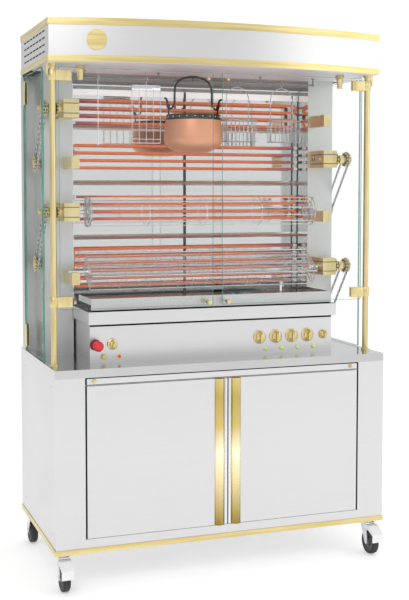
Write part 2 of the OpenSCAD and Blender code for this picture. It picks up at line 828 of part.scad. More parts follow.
// Brake pedal: a bent plate with two cheeks on a pin through the fork's legs
module brake_pedal(sx) {
    color("whitesmoke") at_cabinet() translate([sx * caster_x, -caster_y, 0]) {
        translate([-23.5, 0, 0]) rotate([90, 0, 90]) linear_extrude(47) polygon([
            [-34, 124], [-60, 122], [-caster_trail - pedal_reach, 96], [-caster_trail - pedal_reach, 62],
            [-caster_trail - pedal_reach + 3, 62], [-caster_trail - pedal_reach + 3, 94],
            [-59, 119], [-34, 121]]);
        for (s = [-1, 1]) translate([s * 22.25 - 1.25, 0, 0]) rotate([90, 0, 90]) linear_extrude(2.5)
            polygon([[-16, 118], [-34, 124], [-60, 122], [-94, 97], [-94, 90], [-58, 104], [-16, 104]]);
        rod_x(-23, 23, pedal_pin[0], pedal_pin[1], 3);
    }
}

// ---------------------------------------------------------------- hanging utensils

// Profile of the cauldron's outer wall from the bottom's edge to the rim
function cauldron_profile(t) = concat(
    [for (a = [60:-6:0]) [(cauldron_r - t) * cos(a), 1720 - (53 - t) * sin(a) / sin(60)]],
    [for (u = [0.1:0.1:1]) [(cauldron_r - t) - 13 * (1 - cos(90 * u)), 1720 + (band_z1 - 1720) * u]]);

module cauldron() {
    color("peru") at_cabinet() translate([cauldron_x, bail_y, 0]) {
        rotate_extrude($fn = 96) polygon(concat(
            [[0, 1667]], cauldron_profile(0),
            [for (i = [len(cauldron_profile(2)) - 1:-1:0]) cauldron_profile(2)[i]], [[0, 1669]]));
        // Iron band and the two lugs for the bail
        difference() {
            rod_z(band_z0, band_z1, 0, 0, cauldron_r - 10);
            rod_z(band_z0 - 1, band_z1 + 1, 0, 0, cauldron_r - 13.5);
        }
        for (s = [-1, 1]) difference() {
            box([s * 105 - 3, -7, band_z0], [s * 105 + 3, 7, cauldron_pin_z + 9]);
            rod_x(s * 105 - 4, s * 105 + 4, 0, cauldron_pin_z, 4 + run_gap);
        }
    }
}

module cauldron_bail() {
    bend = 60;
    leg_x = 92;
    top = rail_z + 14;
    color("black") at_cabinet() translate([cauldron_x, bail_y, 0]) {
        for (s = [-1, 1]) {
            rod_z(cauldron_pin_z - 5, top - bend, s * leg_x, 0, bail_r);
            translate([s * 101, 0, 0]) rod_x(-11, 11, 0, cauldron_pin_z, 4);
            translate([s * (leg_x - bend), 0, top - bend]) rotate([90, 0, 0]) intersection() {
                rotate_extrude($fn = 64) translate([bend, 0]) circle(r = bail_r, $fn = 24);
                translate([s > 0 ? 0 : -80, 0, -10]) cube([80, 80, 20]);
            }
        }
        rod_x(-(leg_x - bend), leg_x - bend, 0, top, bail_r);
    }
    // Hook that lies over the rail
    color("black") at_cabinet() translate([0, spit_y, 0]) {
        rail_ring(cauldron_x);
        box([cauldron_x - 1.2, -rail_ring_r - 1.2, rail_z + 1], [cauldron_x + 1.2, -rail_ring_r + 1, top - 1]);
    }
}

// Half ring of wire over the rail
module rail_ring(x) {
    translate([x, 0, rail_z]) rotate([90, 0, 90]) intersection() {
        rotate_extrude($fn = 48) translate([rail_ring_r, 0]) circle(r = 1.5, $fn = 16);
        translate([-20, 0, -5]) cube([40, 20, 10]);
    }
}

// Hook over the rail with its stem down to z_end
module rail_hook(x, z_end) {
    rail_ring(x);
    rod_z(z_end, rail_z, x, rail_ring_r, 1.5);
}

module hanging_grill() {
    w = 120;
    z0 = 1703;
    z1 = 1935;
    y = rail_ring_r;
    color("silver") at_cabinet() translate([0, spit_y, 0]) {
        rail_hook(grill_x, z1);
        for (k = [0:4]) rod_z(z0, z1, grill_x - w / 2 + k * w / 4, y, 1.8);
        for (z = [z0, z1]) rod_x(grill_x - w / 2, grill_x + w / 2, y, z, 1.8);
    }
}

// Wire basket on an arched hanger
module hanging_basket(x) {
    w = 129;
    arch_r = 50;
    z_arch = 1890;
    z_rim = 1802;
    z0 = 1714;
    depth = 50;
    y = rail_ring_r;
    color("silver") at_cabinet() translate([0, spit_y, 0]) {
        rail_hook(x, z_arch + arch_r);
        translate([x, y, z_arch]) rotate([90, 0, 0]) intersection() {
            rotate_extrude($fn = 64) translate([arch_r, 0]) circle(r = 1.6, $fn = 16);
            translate([-60, 0, -5]) cube([120, 60, 10]);
        }
        for (s = [-1, 1]) rod_z(z0, z_arch, x + s * arch_r, y, 1.6);
        for (z = [z0, z_rim]) for (d = [0, depth]) rod_x(x - w / 2, x + w / 2, y - d, z, 1.6);
        for (z = [z0, z_rim]) for (s = [-1, 1]) rod_y(y - depth, y, x + s * w / 2, z, 1.6);
        for (k = [0:6]) {
            rod_z(z0, z_rim, x - w / 2 + k * w / 6, y - depth, 1.4);
            rod_z(z0, z_rim, x - w / 2 + k * w / 6, y, 1.4);
            rod_y(y - depth, y, x - w / 2 + k * w / 6, z0, 1.4);
        }
    }
}

base_carcass();
counter_top();
brass_trim();
control_box();
cavity_liner();
rear_casing();
ceiling_panel();
cornice_shell();
hinge_posts();
heating_elements();
element_supports();
spit_arms();
gearmotors();
drive_chains();
pendant_lamps();
utensil_rail();
pilot_lamps();
base_door_left();
base_door_right();
base_handle_left();
base_handle_right();
pull_board();
drip_tray();
glass_door_left();
glass_door_right();
side_glass_left();
side_glass_right();
spindle(0);  // spindle_1
spindle(1);  // spindle_2
spindle(2);  // spindle_3
spindle(3);  // spindle_4
round_basket();
flat_basket();
motor_wheel(0);  // motor_wheel_1
motor_wheel(1);  // motor_wheel_2
motor_wheel(2);  // motor_wheel_3
motor_wheel(3);  // motor_wheel_4
heat_knob_1();
heat_knob_2();
heat_knob_3();
heat_knob_4();
light_knob();
key_switch();
stop_button();
start_button();
caster_fork(-1, -1);  // caster_fork_fl
caster_fork(1, -1);  // caster_fork_fr
caster_fork(-1, 1);  // caster_fork_rl
caster_fork(1, 1);  // caster_fork_rr
caster_wheel(-1, -1);  // caster_wheel_fl
caster_wheel(1, -1);  // caster_wheel_fr
caster_wheel(-1, 1);  // caster_wheel_rl
caster_wheel(1, 1);  // caster_wheel_rr
brake_pedal(-1);  // brake_pedal_left
brake_pedal(1);  // brake_pedal_right
cauldron();
cauldron_bail();
hanging_grill();
hanging_basket(hang_x[0]);  // hanging_basket_left
hanging_basket(hang_x[1]);  // hanging_basket_right
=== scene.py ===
import math

import bmesh
import bpy
from mathutils import Matrix, Vector


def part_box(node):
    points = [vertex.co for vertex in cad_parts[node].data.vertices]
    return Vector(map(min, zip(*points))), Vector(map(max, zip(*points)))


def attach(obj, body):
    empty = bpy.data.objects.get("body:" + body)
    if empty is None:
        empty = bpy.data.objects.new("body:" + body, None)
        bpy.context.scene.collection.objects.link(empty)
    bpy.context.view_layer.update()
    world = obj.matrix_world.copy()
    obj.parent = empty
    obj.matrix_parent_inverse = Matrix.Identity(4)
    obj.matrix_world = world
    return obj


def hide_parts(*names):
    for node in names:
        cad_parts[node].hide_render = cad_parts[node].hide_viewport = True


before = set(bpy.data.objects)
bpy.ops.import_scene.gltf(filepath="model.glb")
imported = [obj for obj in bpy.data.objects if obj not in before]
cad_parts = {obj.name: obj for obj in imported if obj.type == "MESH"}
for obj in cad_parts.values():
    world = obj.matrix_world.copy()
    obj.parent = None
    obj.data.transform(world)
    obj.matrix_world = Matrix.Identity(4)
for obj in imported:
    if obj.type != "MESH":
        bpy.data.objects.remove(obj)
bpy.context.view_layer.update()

# Lengths are in millimetres, with Y from the cabinet's middle, until put() turns them into the frame's metres
MM = 0.001
low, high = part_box("base_carcass")
CAB_Y = (low.y + high.y) / 2
HD = (high.y - low.y) / 2 / MM    # half the cabinet's depth
HW = (high.x - low.x) / 2 / MM    # half its width
COUNTER_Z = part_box("counter_top")[1].z / MM
CEILING_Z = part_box("ceiling_panel")[1].z / MM

SPIT_Y = -45
ARM_GROOVE_Z = 18             # the arms' two grooves, above and below the spit
SPIT_Z = [1832, 1645, 1426, 1187]
DRIVE = [-1, 1, -1, 1]        # the side of each spit's drive
MOTOR_DY, MOTOR_DZ = 165, -213
POST_X, POST_Y, POST_R = 664, -221, 12
RECESS_X, RECESS_Y = 524, 185
TUBE_Y, TUBE_PITCH, TUBE_R = 135, 31, 4.5
ROW_TOP = [1884, 1699, 1485, 1268]
ROW_TUBES = [4, 4, 4, 6]
RIDGE_Z = [1774, 1544, 1316]
PANEL_Y = -195
KNOB_X = [194 + 71.5 * i for i in range(4)]
KNOB_Z, LAMP_Z, LAMP_DX = 914, 866, 26.5
LIGHT_X, KEY_X, STOP_X, START_X, RED_X = 480, -428, -497, -463, -401
RAIL_Z = 1958
SILL_X, SILL_Y, SILL_Z0, SILL_Z1 = 512, -194, 1047, 1092
HOOD_FRONT_Y, HOOD_BACK_Y, HOOD_BACK_Z = 50, 180, 1935
HOOD_HIGHLIGHT_AT = 0.70              # how far back along the hood's slope its painted highlight line lies
HOOD_SHADE = 30               # depth of the painted shadow strip before the painted highlight line
SKEWER_X = -441
CLIP_X = 478
DOOR_Z0, DOOR_Z1 = 199.5, 779
PANE_X0, PANE_X1, PANE_Z0, PANE_Z1, PANE_HALF = 19, 640, 1057, 1975, 3
LAMP_X, LAMP_Y = 550, -195
CASTER_X, AXLE_Y, AXLE_Z, SWIVEL_Y = 650, 308, 50, 275
CHAIN_X = 660                 # middle of the chain wheels
BASKET_HALF = 487             # half length of both spit baskets
RACK_HALF, RACK_DEPTH, RACK_Z0, RACK_Z1 = 64.5, 50, 1714, 1802
CAULDRON_X, BAIL_Y, PIN_Z = -44, SPIT_Y - 9.5, 1850
SIDES = (("left", -1), ("right", 1))


# ---- camera and studio

def add_object(name, data):
    obj = bpy.data.objects.new(name, data)
    bpy.context.scene.collection.objects.link(obj)
    return obj


def make_camera():
    cam = add_object("camera", bpy.data.cameras.new("camera"))
    cam.location = (-1.5305, -4.2496 + CAB_Y, 1.5078)
    cam.rotation_euler = (math.radians(90 - 3.27), 0, math.radians(-19.55))
    cam.data.lens = 64.93
    cam.data.shift_x = 0.0175
    cam.data.shift_y = -0.078
    bpy.context.scene.camera = cam


def area_light(name, at, aim, size, power):
    data = bpy.data.lights.new(name, "AREA")
    data.shape = "RECTANGLE"
    data.size, data.size_y = size
    data.energy = power
    lamp = add_object(name, data)
    lamp.location = at
    lamp.rotation_euler = (Vector(aim) - Vector(at)).to_track_quat("-Z", "Y").to_euler()


def make_world():
    """Soft studio: greyer on the left, for reflections, and plain white behind the object."""
    world = bpy.data.worlds.new("studio")
    bpy.context.scene.world = world
    world.use_nodes = True
    nt = world.node_tree
    nt.nodes.clear()
    out = nt.nodes.new("ShaderNodeOutputWorld")
    sky = nt.nodes.new("ShaderNodeBackground")
    sky.inputs["Strength"].default_value = 1.0
    from_left = calc(nt, "MULTIPLY_ADD", place(nt, "Generated")["X"], 0.5, 0.5)
    nt.links.new(ramp_between(nt, from_left, [(0.0, (0.50, 0.485, 0.475)), (0.55, (0.86, 0.86, 0.865))]),
                 sky.inputs["Color"])
    white = nt.nodes.new("ShaderNodeBackground")
    white.inputs["Color"].default_value = (1, 1, 1, 1)
    white.inputs["Strength"].default_value = 1.05
    ray = nt.nodes.new("ShaderNodeLightPath")
    mix = nt.nodes.new("ShaderNodeMixShader")
    nt.links.new(feed(nt, mix, ray.outputs["Is Camera Ray"], sky.outputs[0], white.outputs[0]), out.inputs[0])


def make_floor():
    bm = bmesh.new()
    bmesh.ops.create_grid(bm, x_segments=1, y_segments=1, size=14)
    mesh = bpy.data.meshes.new("floor")
    bm.to_mesh(mesh)
    bm.free()
    floor = add_object("floor", mesh)
    mat, nt, bsdf = shader("floor_white", (0.93, 0.93, 0.93), 0.0, 0.6, Emission_Strength=0.32)
    bsdf.inputs["Emission Color"].default_value = (1, 1, 1, 1)
    mottle(nt, bsdf, (0.90, 0.90, 0.905), (0.95, 0.95, 0.95), 3, 4)
    mesh.materials.append(mat)


# ---- materials

def shader(name, colour, metallic, rough, **sockets):
    mat = bpy.data.materials.new(name)
    mat.use_nodes = True
    nt = mat.node_tree
    bsdf = nt.nodes["Principled BSDF"]
    bsdf.inputs["Base Color"].default_value = (*colour, 1)
    bsdf.inputs["Metallic"].default_value = metallic
    bsdf.inputs["Roughness"].default_value = rough
    for key, value in sockets.items():
        bsdf.inputs[key.replace("_", " ")].default_value = value
    return mat, nt, bsdf


def feed(nt, node, *values):
    """Links or sets a node's first inputs, in order, and returns its first output."""
    for socket, value in zip(node.inputs, values):
        if isinstance(value, bpy.types.NodeSocket):
            nt.links.new(value, socket)
        else:
            socket.default_value = value
    return node.outputs[0]


def calc(nt, operation, *values):
    node = nt.nodes.new("ShaderNodeMath")
    node.operation = operation
    return feed(nt, node, *values)


def mix_colours(nt, fac, first, second):
    return feed(nt, nt.nodes.new("ShaderNodeMixRGB"), fac, first, second)


def place(nt, kind="Object"):
    """X, Y and Z of the point being shaded, in metres."""
    coord = nt.nodes.new("ShaderNodeTexCoord")
    split = nt.nodes.new("ShaderNodeSeparateXYZ")
    nt.links.new(coord.outputs[kind], split.inputs[0])
    return split.outputs


def scaled(nt, value, lo, hi, to_lo=0.0, to_hi=1.0):
    span = nt.nodes.new("ShaderNodeMapRange")
    return feed(nt, span, value, lo, hi, to_lo, to_hi)


def place_coords(nt, scale):
    """Object coordinates times scale, which is one number or one for each axis."""
    coord = nt.nodes.new("ShaderNodeTexCoord")
    mapping = nt.nodes.new("ShaderNodeMapping")
    mapping.inputs["Scale"].default_value = scale if isinstance(scale, tuple) else (scale,) * 3
    nt.links.new(coord.outputs["Object"], mapping.inputs["Vector"])
    return mapping.outputs["Vector"]


def noise(nt, scale, detail=3.0):
    tex = nt.nodes.new("ShaderNodeTexNoise")
    tex.inputs["Scale"].default_value = 1.0
    tex.inputs["Detail"].default_value = detail
    nt.links.new(place_coords(nt, scale), tex.inputs["Vector"])
    return tex.outputs["Fac"]


def ramp_between(nt, fac, stops):
    ramp = nt.nodes.new("ShaderNodeValToRGB")
    elements = ramp.color_ramp.elements
    while len(elements) < len(stops):
        elements.new(0.5)
    for element, (pos, colour) in zip(elements, stops):
        element.position = pos
        element.color = (*colour, 1)
    nt.links.new(fac, ramp.inputs[0])
    return ramp.outputs[0]


def mottle(nt, bsdf, dark, light, scale, detail=3.0, spread=(0.3, 0.7)):
    fac = noise(nt, scale, detail)
    nt.links.new(ramp_between(nt, fac, [(spread[0], dark), (spread[1], light)]), bsdf.inputs["Base Color"])
    return fac


def vary_rough(nt, bsdf, scale, lo, hi):
    nt.links.new(scaled(nt, noise(nt, scale, 4.0), 0.3, 0.7, lo, hi), bsdf.inputs["Roughness"])


def add_bump(nt, bsdf, fac, strength, distance):
    bump = nt.nodes.new("ShaderNodeBump")
    bump.inputs["Strength"].default_value = strength
    bump.inputs["Distance"].default_value = distance
    nt.links.new(fac, bump.inputs["Height"])
    nt.links.new(bump.outputs[0], bsdf.inputs["Normal"])


def brushed(name, dark, light, grain, rough, metallic=1.0, bump=0.03):
    """Brushed sheet: fine streaks along the short axis of grain, with soft clouds in the roughness."""
    mat, nt, bsdf = shader(name, light, metallic, rough[0])
    fac = mottle(nt, bsdf, dark, light, grain, 5.0, (0.25, 0.75))
    vary_rough(nt, bsdf, (3.1, 2.3, 2.7), rough[0], rough[1])
    add_bump(nt, bsdf, fac, bump, 0.0004)
    return mat


# Plain materials: dark and light colour, grain, roughness from and to, metallic and bump
BRUSHED = {
    "steel": ((0.675, 0.675, 0.68), (0.705, 0.705, 0.708), (5, 5, 900), (0.30, 0.37)),
    "steel_tray": ((0.53, 0.545, 0.54), (0.58, 0.595, 0.59), (4, 4, 500), (0.34, 0.42)),
    "steel_top": ((0.52, 0.52, 0.525), (0.56, 0.56, 0.565), (4, 500, 4), (0.12, 0.18), 1.0, 0.02),
    "steel_edge": ((0.76, 0.76, 0.765), (0.84, 0.84, 0.845), (3, 3, 300), (0.25, 0.32), 1.0, 0.06),
    "mirror": ((0.70, 0.715, 0.705), (0.76, 0.775, 0.765), (2, 2, 90), (0.035, 0.075), 1.0, 0.01),
    "rail": ((0.17, 0.175, 0.175), (0.30, 0.305, 0.305), (3, 160, 160), (0.30, 0.40), 0.8),
    "nose_painted_reflection": ((0.38, 0.19, 0.12), (0.60, 0.25, 0.12), (1.6, 40, 40), (0.30, 0.42), 0.7),
    "satin": ((0.60, 0.61, 0.605), (0.66, 0.67, 0.665), (2, 60, 60), (0.34, 0.44), 1.0, 0.02),
    "shaded_brass": ((0.16, 0.12, 0.035), (0.30, 0.24, 0.09), 60, (0.34, 0.46), 1.0, 0.04),
    "brass": ((0.68, 0.555, 0.25), (0.80, 0.69, 0.38), (50, 50, 9), (0.30, 0.40)),
    "brass_trim": ((0.62, 0.49, 0.19), (0.84, 0.71, 0.36), (3.1, 3.1, 90), (0.24, 0.34)),
    "zinc": ((0.70, 0.71, 0.73), (0.83, 0.84, 0.85), (90, 90, 60), (0.24, 0.36), 1.0, 0.06),
    "chrome": ((0.72, 0.73, 0.74), (0.86, 0.865, 0.87), 120, (0.10, 0.18), 1.0, 0.02),
    "nickel": ((0.42, 0.43, 0.44), (0.62, 0.63, 0.64), 150, (0.22, 0.32), 1.0, 0.02),
    "dark": ((0.004, 0.004, 0.005), (0.008, 0.008, 0.009), 40, (0.75, 0.85), 0.0, 0.02),
    "black": ((0.008, 0.008, 0.009), (0.018, 0.018, 0.019), 90, (0.5, 0.65), 0.0, 0.05),
    "ceramic": ((0.80, 0.79, 0.77), (0.88, 0.875, 0.86), 120, (0.3, 0.42), 0.0, 0.04),
    "hub": ((0.06, 0.06, 0.062), (0.10, 0.10, 0.102), 70, (0.4, 0.5), 0.0, 0.04),
    "pedal": ((0.80, 0.81, 0.81), (0.88, 0.885, 0.89), 60, (0.3, 0.42), 0.0),
    "red": ((0.62, 0.02, 0.03), (0.72, 0.035, 0.045), 40, (0.18, 0.28), 0.0, 0.02),
    "dark_red": ((0.24, 0.012, 0.016), (0.32, 0.02, 0.024), 40, (0.3, 0.4), 0.0, 0.02),
    "yellow": ((0.85, 0.68, 0.12), (0.92, 0.76, 0.18), 40, (0.2, 0.3), 0.0, 0.02),
}

# Glowing materials: dark and light colour, and glow. The lenses and bulb are lamps; the painted highlight
# glows as painted light and is no lamp
LENSES = {
    "green_lens": ((0.34, 0.62, 0.14), (0.42, 0.74, 0.18), 0.40),
    "red_lens": ((0.66, 0.05, 0.03), (0.80, 0.07, 0.04), 0.25),
    "bright_strip": ((0.93, 0.94, 0.95), (1.0, 1.0, 1.0), 0.35),
    "bulb": ((0.95, 0.90, 0.75), (1.0, 0.93, 0.78), 0.5),
}


def make_materials():
    made = {key: brushed(key, *row) for key, row in BRUSHED.items()}
    made.update({key: lens(key, *row) for key, row in LENSES.items()})
    for make in (hood_steel_painted_shade, brass_painted_reflections, copper, iron, rubber, glass_face, glass_edge, hot_tube):
        made[make.__name__] = make()
    return made


def brass_painted_reflections():
    """Polished brass of the tall door handles: soft bands of painted reflection, light and dark, along their
    height.
    """
    mat, nt, bsdf = shader("brass_painted_reflections", (0.80, 0.66, 0.32), 1.0, 0.2)
    wobble = calc(nt, "MULTIPLY_ADD", noise(nt, (55, 55, 5), 3.0), 0.05, place(nt)["Z"])
    # Painted reflections: light and dark bands of colour along the handle's height
    reflection_bands = ramp_between(nt, scaled(nt, wobble, DOOR_Z0 * MM, DOOR_Z1 * MM + 0.05), [
        (0.0, (0.20, 0.14, 0.035)), (0.10, (0.42, 0.31, 0.09)), (0.34, (0.86, 0.74, 0.42)),
        (0.50, (0.97, 0.91, 0.66)), (0.66, (0.62, 0.48, 0.17)), (0.84, (0.50, 0.38, 0.12)),
        (1.0, (0.74, 0.60, 0.26))])
    nt.links.new(reflection_bands, bsdf.inputs["Base Color"])
    vary_rough(nt, bsdf, (30, 30, 4), 0.16, 0.26)
    return mat


def hood_steel_painted_shade():
    """Pale ceiling in front of the chamber, and the hood's slope behind it painted as a grey sheet in shade.
    """
    mat, nt, bsdf = shader("hood_steel_painted_shade", (0.30, 0.31, 0.31), 0.45, 0.45)
    y = place(nt)["Y"]
    front = CAB_Y + HOOD_FRONT_Y * MM
    highlight_line = front + HOOD_HIGHLIGHT_AT * (HOOD_BACK_Y - HOOD_FRONT_Y) * MM
    grain = noise(nt, (3, 120, 120), 5.0)
    pale = ramp_between(nt, grain, [(0.25, (0.72, 0.72, 0.75)), (0.75, (0.80, 0.80, 0.83))])
    # Painted shade: the slope behind the front edge gets this grey
    grey = ramp_between(nt, grain, [(0.25, (0.29, 0.305, 0.30)), (0.75, (0.36, 0.375, 0.37))])
    sheet = mix_colours(nt, scaled(nt, y, front - 8 * MM, front + 8 * MM), pale, grey)
    # Painted shadow: a darker strip lies just before the painted highlight line
    strip = calc(nt, "SUBTRACT", scaled(nt, y, highlight_line - HOOD_SHADE * MM, highlight_line - (HOOD_SHADE - 6) * MM),
                 scaled(nt, y, highlight_line - 4 * MM, highlight_line + 2 * MM))
    colour = mix_colours(nt, calc(nt, "MULTIPLY", strip, 0.55), sheet, (0.10, 0.10, 0.095, 1))
    nt.links.new(colour, bsdf.inputs["Base Color"])
    vary_rough(nt, bsdf, (3, 30, 30), 0.40, 0.50)
    return mat


def copper():
    mat, nt, bsdf = shader("copper", (0.80, 0.47, 0.33), 0.55, 0.46)
    mottle(nt, bsdf, (0.65, 0.285, 0.155), (0.76, 0.37, 0.215), 9, 5.0, (0.32, 0.68))
    vary_rough(nt, bsdf, 14, 0.42, 0.54)
    tex = nt.nodes.new("ShaderNodeTexVoronoi")
    tex.inputs["Scale"].default_value = 1.0
    nt.links.new(place_coords(nt, 75), tex.inputs["Vector"])
    add_bump(nt, bsdf, tex.outputs["Distance"], 0.10, 0.001)
    return mat


def iron():
    mat, nt, bsdf = shader("dark_iron", (0.03, 0.033, 0.034), 0.6, 0.45)
    fac = mottle(nt, bsdf, (0.008, 0.009, 0.0095), (0.030, 0.031, 0.031), 160, 6.0)
    vary_rough(nt, bsdf, 40, 0.36, 0.58)
    add_bump(nt, bsdf, fac, 0.25, 0.0006)
    return mat


def rubber():
    mat, nt, bsdf = shader("tyre_rubber", (0.02, 0.02, 0.021), 0.0, 0.55)
    fac = mottle(nt, bsdf, (0.012, 0.012, 0.013), (0.03, 0.03, 0.031), 220, 5.0)
    vary_rough(nt, bsdf, 30, 0.45, 0.65)
    add_bump(nt, bsdf, fac, 0.15, 0.0004)
    return mat


def lens(name, dark, light, glow):
    mat, nt, bsdf = shader(name, light, 0.0, 0.12, Emission_Strength=glow)
    bsdf.inputs["Emission Color"].default_value = (*light, 1)
    mottle(nt, bsdf, dark, light, 120, 3.0)
    return mat


def glass_face():
    mat, nt, bsdf = shader("glass_pane", (0.80, 0.92, 0.90), 0.0, 0.03, Specular_IOR_Level=0.6)
    mottle(nt, bsdf, (0.78, 0.91, 0.885), (0.84, 0.94, 0.92), (2.5, 2.5, 2.5), 3.0)
    nt.links.new(scaled(nt, noise(nt, (5, 5, 3), 5.0), 0, 1, 0.018, 0.032), bsdf.inputs["Alpha"])
    return mat


def glass_edge():
    mat, nt, bsdf = shader("glass_edge", (0.08, 0.30, 0.23), 0.0, 0.12, Alpha=0.88, Specular_IOR_Level=0.6)
    mottle(nt, bsdf, (0.06, 0.25, 0.19), (0.14, 0.40, 0.31), (3, 3, 9), 3.0)
    return mat


def hot_tube():
    """Glowing sheath: orange along the heated length and mauve where each row enters its wall."""
    mat, nt, bsdf = shader("hot_tube", (0.80, 0.20, 0.08), 0.0, 0.45, Emission_Strength=0.34)
    at = place(nt)
    z_low, z_high = 1.05, 2.0

    def step(z):
        return (z - z_low) / (z_high - z_low)

    # White for the rows whose terminals are at the right, black for the others
    right = ramp_between(nt, scaled(nt, at["Z"], z_low, z_high), [
        (0.0, (1, 1, 1)), (step(1.30), (0, 0, 0)), (step(1.55), (1, 1, 1)), (step(1.78), (0, 0, 0))])
    right.node.color_ramp.interpolation = "CONSTANT"
    along = calc(nt, "MULTIPLY", calc(nt, "MULTIPLY_ADD", right, 2.0, -1.0), at["X"])
    heat = scaled(nt, calc(nt, "MULTIPLY_ADD", noise(nt, (9, 9, 30), 3.0), 0.05, along), -0.5, 0.5)
    colour = ramp_between(nt, heat, [
        (0.0, (0.50, 0.09, 0.018)), (0.84, (0.50, 0.09, 0.02)), (0.94, (0.36, 0.055, 0.035)),
        (1.0, (0.24, 0.045, 0.05))])
    glow = ramp_between(nt, heat, [
        (0.0, (0.80, 0.17, 0.04)), (0.84, (0.80, 0.17, 0.045)), (0.94, (0.52, 0.10, 0.06)),
        (1.0, (0.36, 0.07, 0.07))])
    nt.links.new(colour, bsdf.inputs["Base Color"])
    nt.links.new(glow, bsdf.inputs["Emission Color"])
    return mat


# ---- mesh building

class Shape:
    """Collects vertices and faces in millimetres for one piece."""

    def __init__(self):
        self.v, self.f, self.m = [], [], []
        self.slot = 0

    def add(self, verts, faces):
        base = len(self.v)
        self.v += [Vector(p) for p in verts]
        self.f += [[base + i for i in face] for face in faces]
        self.m += [self.slot] * len(faces)

    def from_bmesh(self, bm):
        bm.verts.ensure_lookup_table()
        bm.verts.index_update()
        self.add([v.co.copy() for v in bm.verts], [[v.index for v in f.verts] for f in bm.faces])
        bm.free()

    def box(self, p, q, bevel=0.0, segments=2):
        bm = bmesh.new()
        size = [abs(b - a) for a, b in zip(p, q)]
        mid = [(a + b) / 2 for a, b in zip(p, q)]
        bmesh.ops.create_cube(bm, size=1.0)
        bmesh.ops.scale(bm, vec=size, verts=bm.verts)
        if bevel:
            bmesh.ops.bevel(bm, geom=bm.edges[:], offset=bevel, segments=segments, profile=0.5,
                            affect="EDGES")
        bmesh.ops.translate(bm, vec=mid, verts=bm.verts)
        self.from_bmesh(bm)

    def side_box(self, s, p, q, *bevel):
        """Box whose X runs outwards from the middle on the side s."""
        x0, x1 = sided(s, p[0], q[0])
        self.box((x0, *p[1:]), (x1, *q[1:]), *bevel)

    def sweep(self, path, r, sides=8, closed=False):
        """Round wire along a path, with a frame carried along it so that it doesn't twist."""
        pts = [Vector(p) for p in path]
        n = len(pts)
        tangents = []
        for i in range(n):
            a = pts[i - 1] if i or closed else pts[0]
            b = pts[(i + 1) % n] if i < n - 1 or closed else pts[n - 1]
            tangents.append((b - a).normalized())
        up = Vector((0, 0, 1)) if abs(tangents[0].z) < 0.9 else Vector((0, 1, 0))
        normal = tangents[0].cross(up).normalized()
        verts = []
        for i in range(n):
            if i:
                normal = tangents[i - 1].rotation_difference(tangents[i]) @ normal
            other = tangents[i].cross(normal)
            for k in range(sides):
                a = 2 * math.pi * k / sides
                verts.append(pts[i] + (normal * math.cos(a) + other * math.sin(a)) * r)
        faces = []
        for i in range(n if closed else n - 1):
            j = (i + 1) % n
            for k in range(sides):
                l = (k + 1) % sides
                faces.append([i * sides + k, j * sides + k, j * sides + l, i * sides + l])
        if not closed:
            faces.append(list(range(sides)))
            faces.append([(n - 1) * sides + k for k in reversed(range(sides))])
        self.add(verts, faces)

    def rod(self, p, q, r, sides=10):
        self.sweep([p, q], r, sides)

    def revolve(self, profile, centre, axis="Z", segments=48, side=1):
        """Profile points are (radius, distance from centre towards side). A radius of 0 closes the end."""
        verts, rings = [], []
        for radius, dist in ((r, side * d) for r, d in profile):
            if radius == 0:
                rings.append([len(verts)])
                verts.append((0, 0, dist))
            else:
                rings.append([len(verts) + k for k in range(segments)])
                for k in range(segments):
                    a = 2 * math.pi * k / segments
                    verts.append((radius * math.cos(a), radius * math.sin(a), dist))
        faces = []
        for a, b in zip(rings, rings[1:]):
            for k in range(segments):
                l = (k + 1) % segments
                if len(a) == 1:
                    faces.append([a[0], b[k], b[l]])
                elif len(b) == 1:
                    faces.append([a[k], a[l], b[0]])
                else:
                    faces.append([a[k], a[l], b[l], b[k]])
        turn = {"Z": Matrix.Identity(3), "X": Matrix.Rotation(math.radians(90), 3, "Y"),
                "-Y": Matrix.Rotation(math.radians(90), 3, "X")}[axis]
        self.add([turn @ Vector(p) + Vector(centre) for p in verts], faces)

    def put(self, name, mats, body, slot, replaces=(), smooth=40):
        bm = bmesh.new()
        verts = [bm.verts.new((v.x * MM, v.y * MM + CAB_Y, v.z * MM)) for v in self.v]
        for face, index in zip(self.f, self.m):
            made = bm.faces.new([verts[i] for i in face])
            made.material_index = index
        bmesh.ops.recalc_face_normals(bm, faces=bm.faces[:])
        mesh = bpy.data.meshes.new(name)
        bm.to_mesh(mesh)
        bm.free()
        mesh.polygons.foreach_set("use_smooth", [True] * len(mesh.polygons))
        mesh.set_sharp_from_angle(angle=math.radians(smooth))
        obj = add_object(name, mesh)
        for mat in mats if isinstance(mats, (list, tuple)) else [mats]:
            mesh.materials.append(M[mat])
        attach(obj, body)
        if replaces:
            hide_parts(*replaces)


def arc(centre, r, a0, a1, steps, plane="XZ"):
    """Points of an arc in the XZ or YZ plane, with its angles in degrees."""
    pts = []
    for i in range(steps + 1):
        a = math.radians(a0 + (a1 - a0) * i / steps)
        u, w = r * math.cos(a), r * math.sin(a)
        x, y, z = centre
        pts.append((x + u, y, z + w) if plane == "XZ" else (x, y + u, z + w))
    return pts


def around(count, r, ahead=0.0):
    """Points evenly spaced round a circle, the first one ahead steps past its start."""
    angles = [2 * math.pi * (k + ahead) / count for k in range(count)]
    return [(r * math.cos(a), r * math.sin(a)) for a in angles]


def spread(half, count):
    """Evenly spaced values from -half to half."""
    return [half * (2 * k / (count - 1) - 1) for k in range(count)]


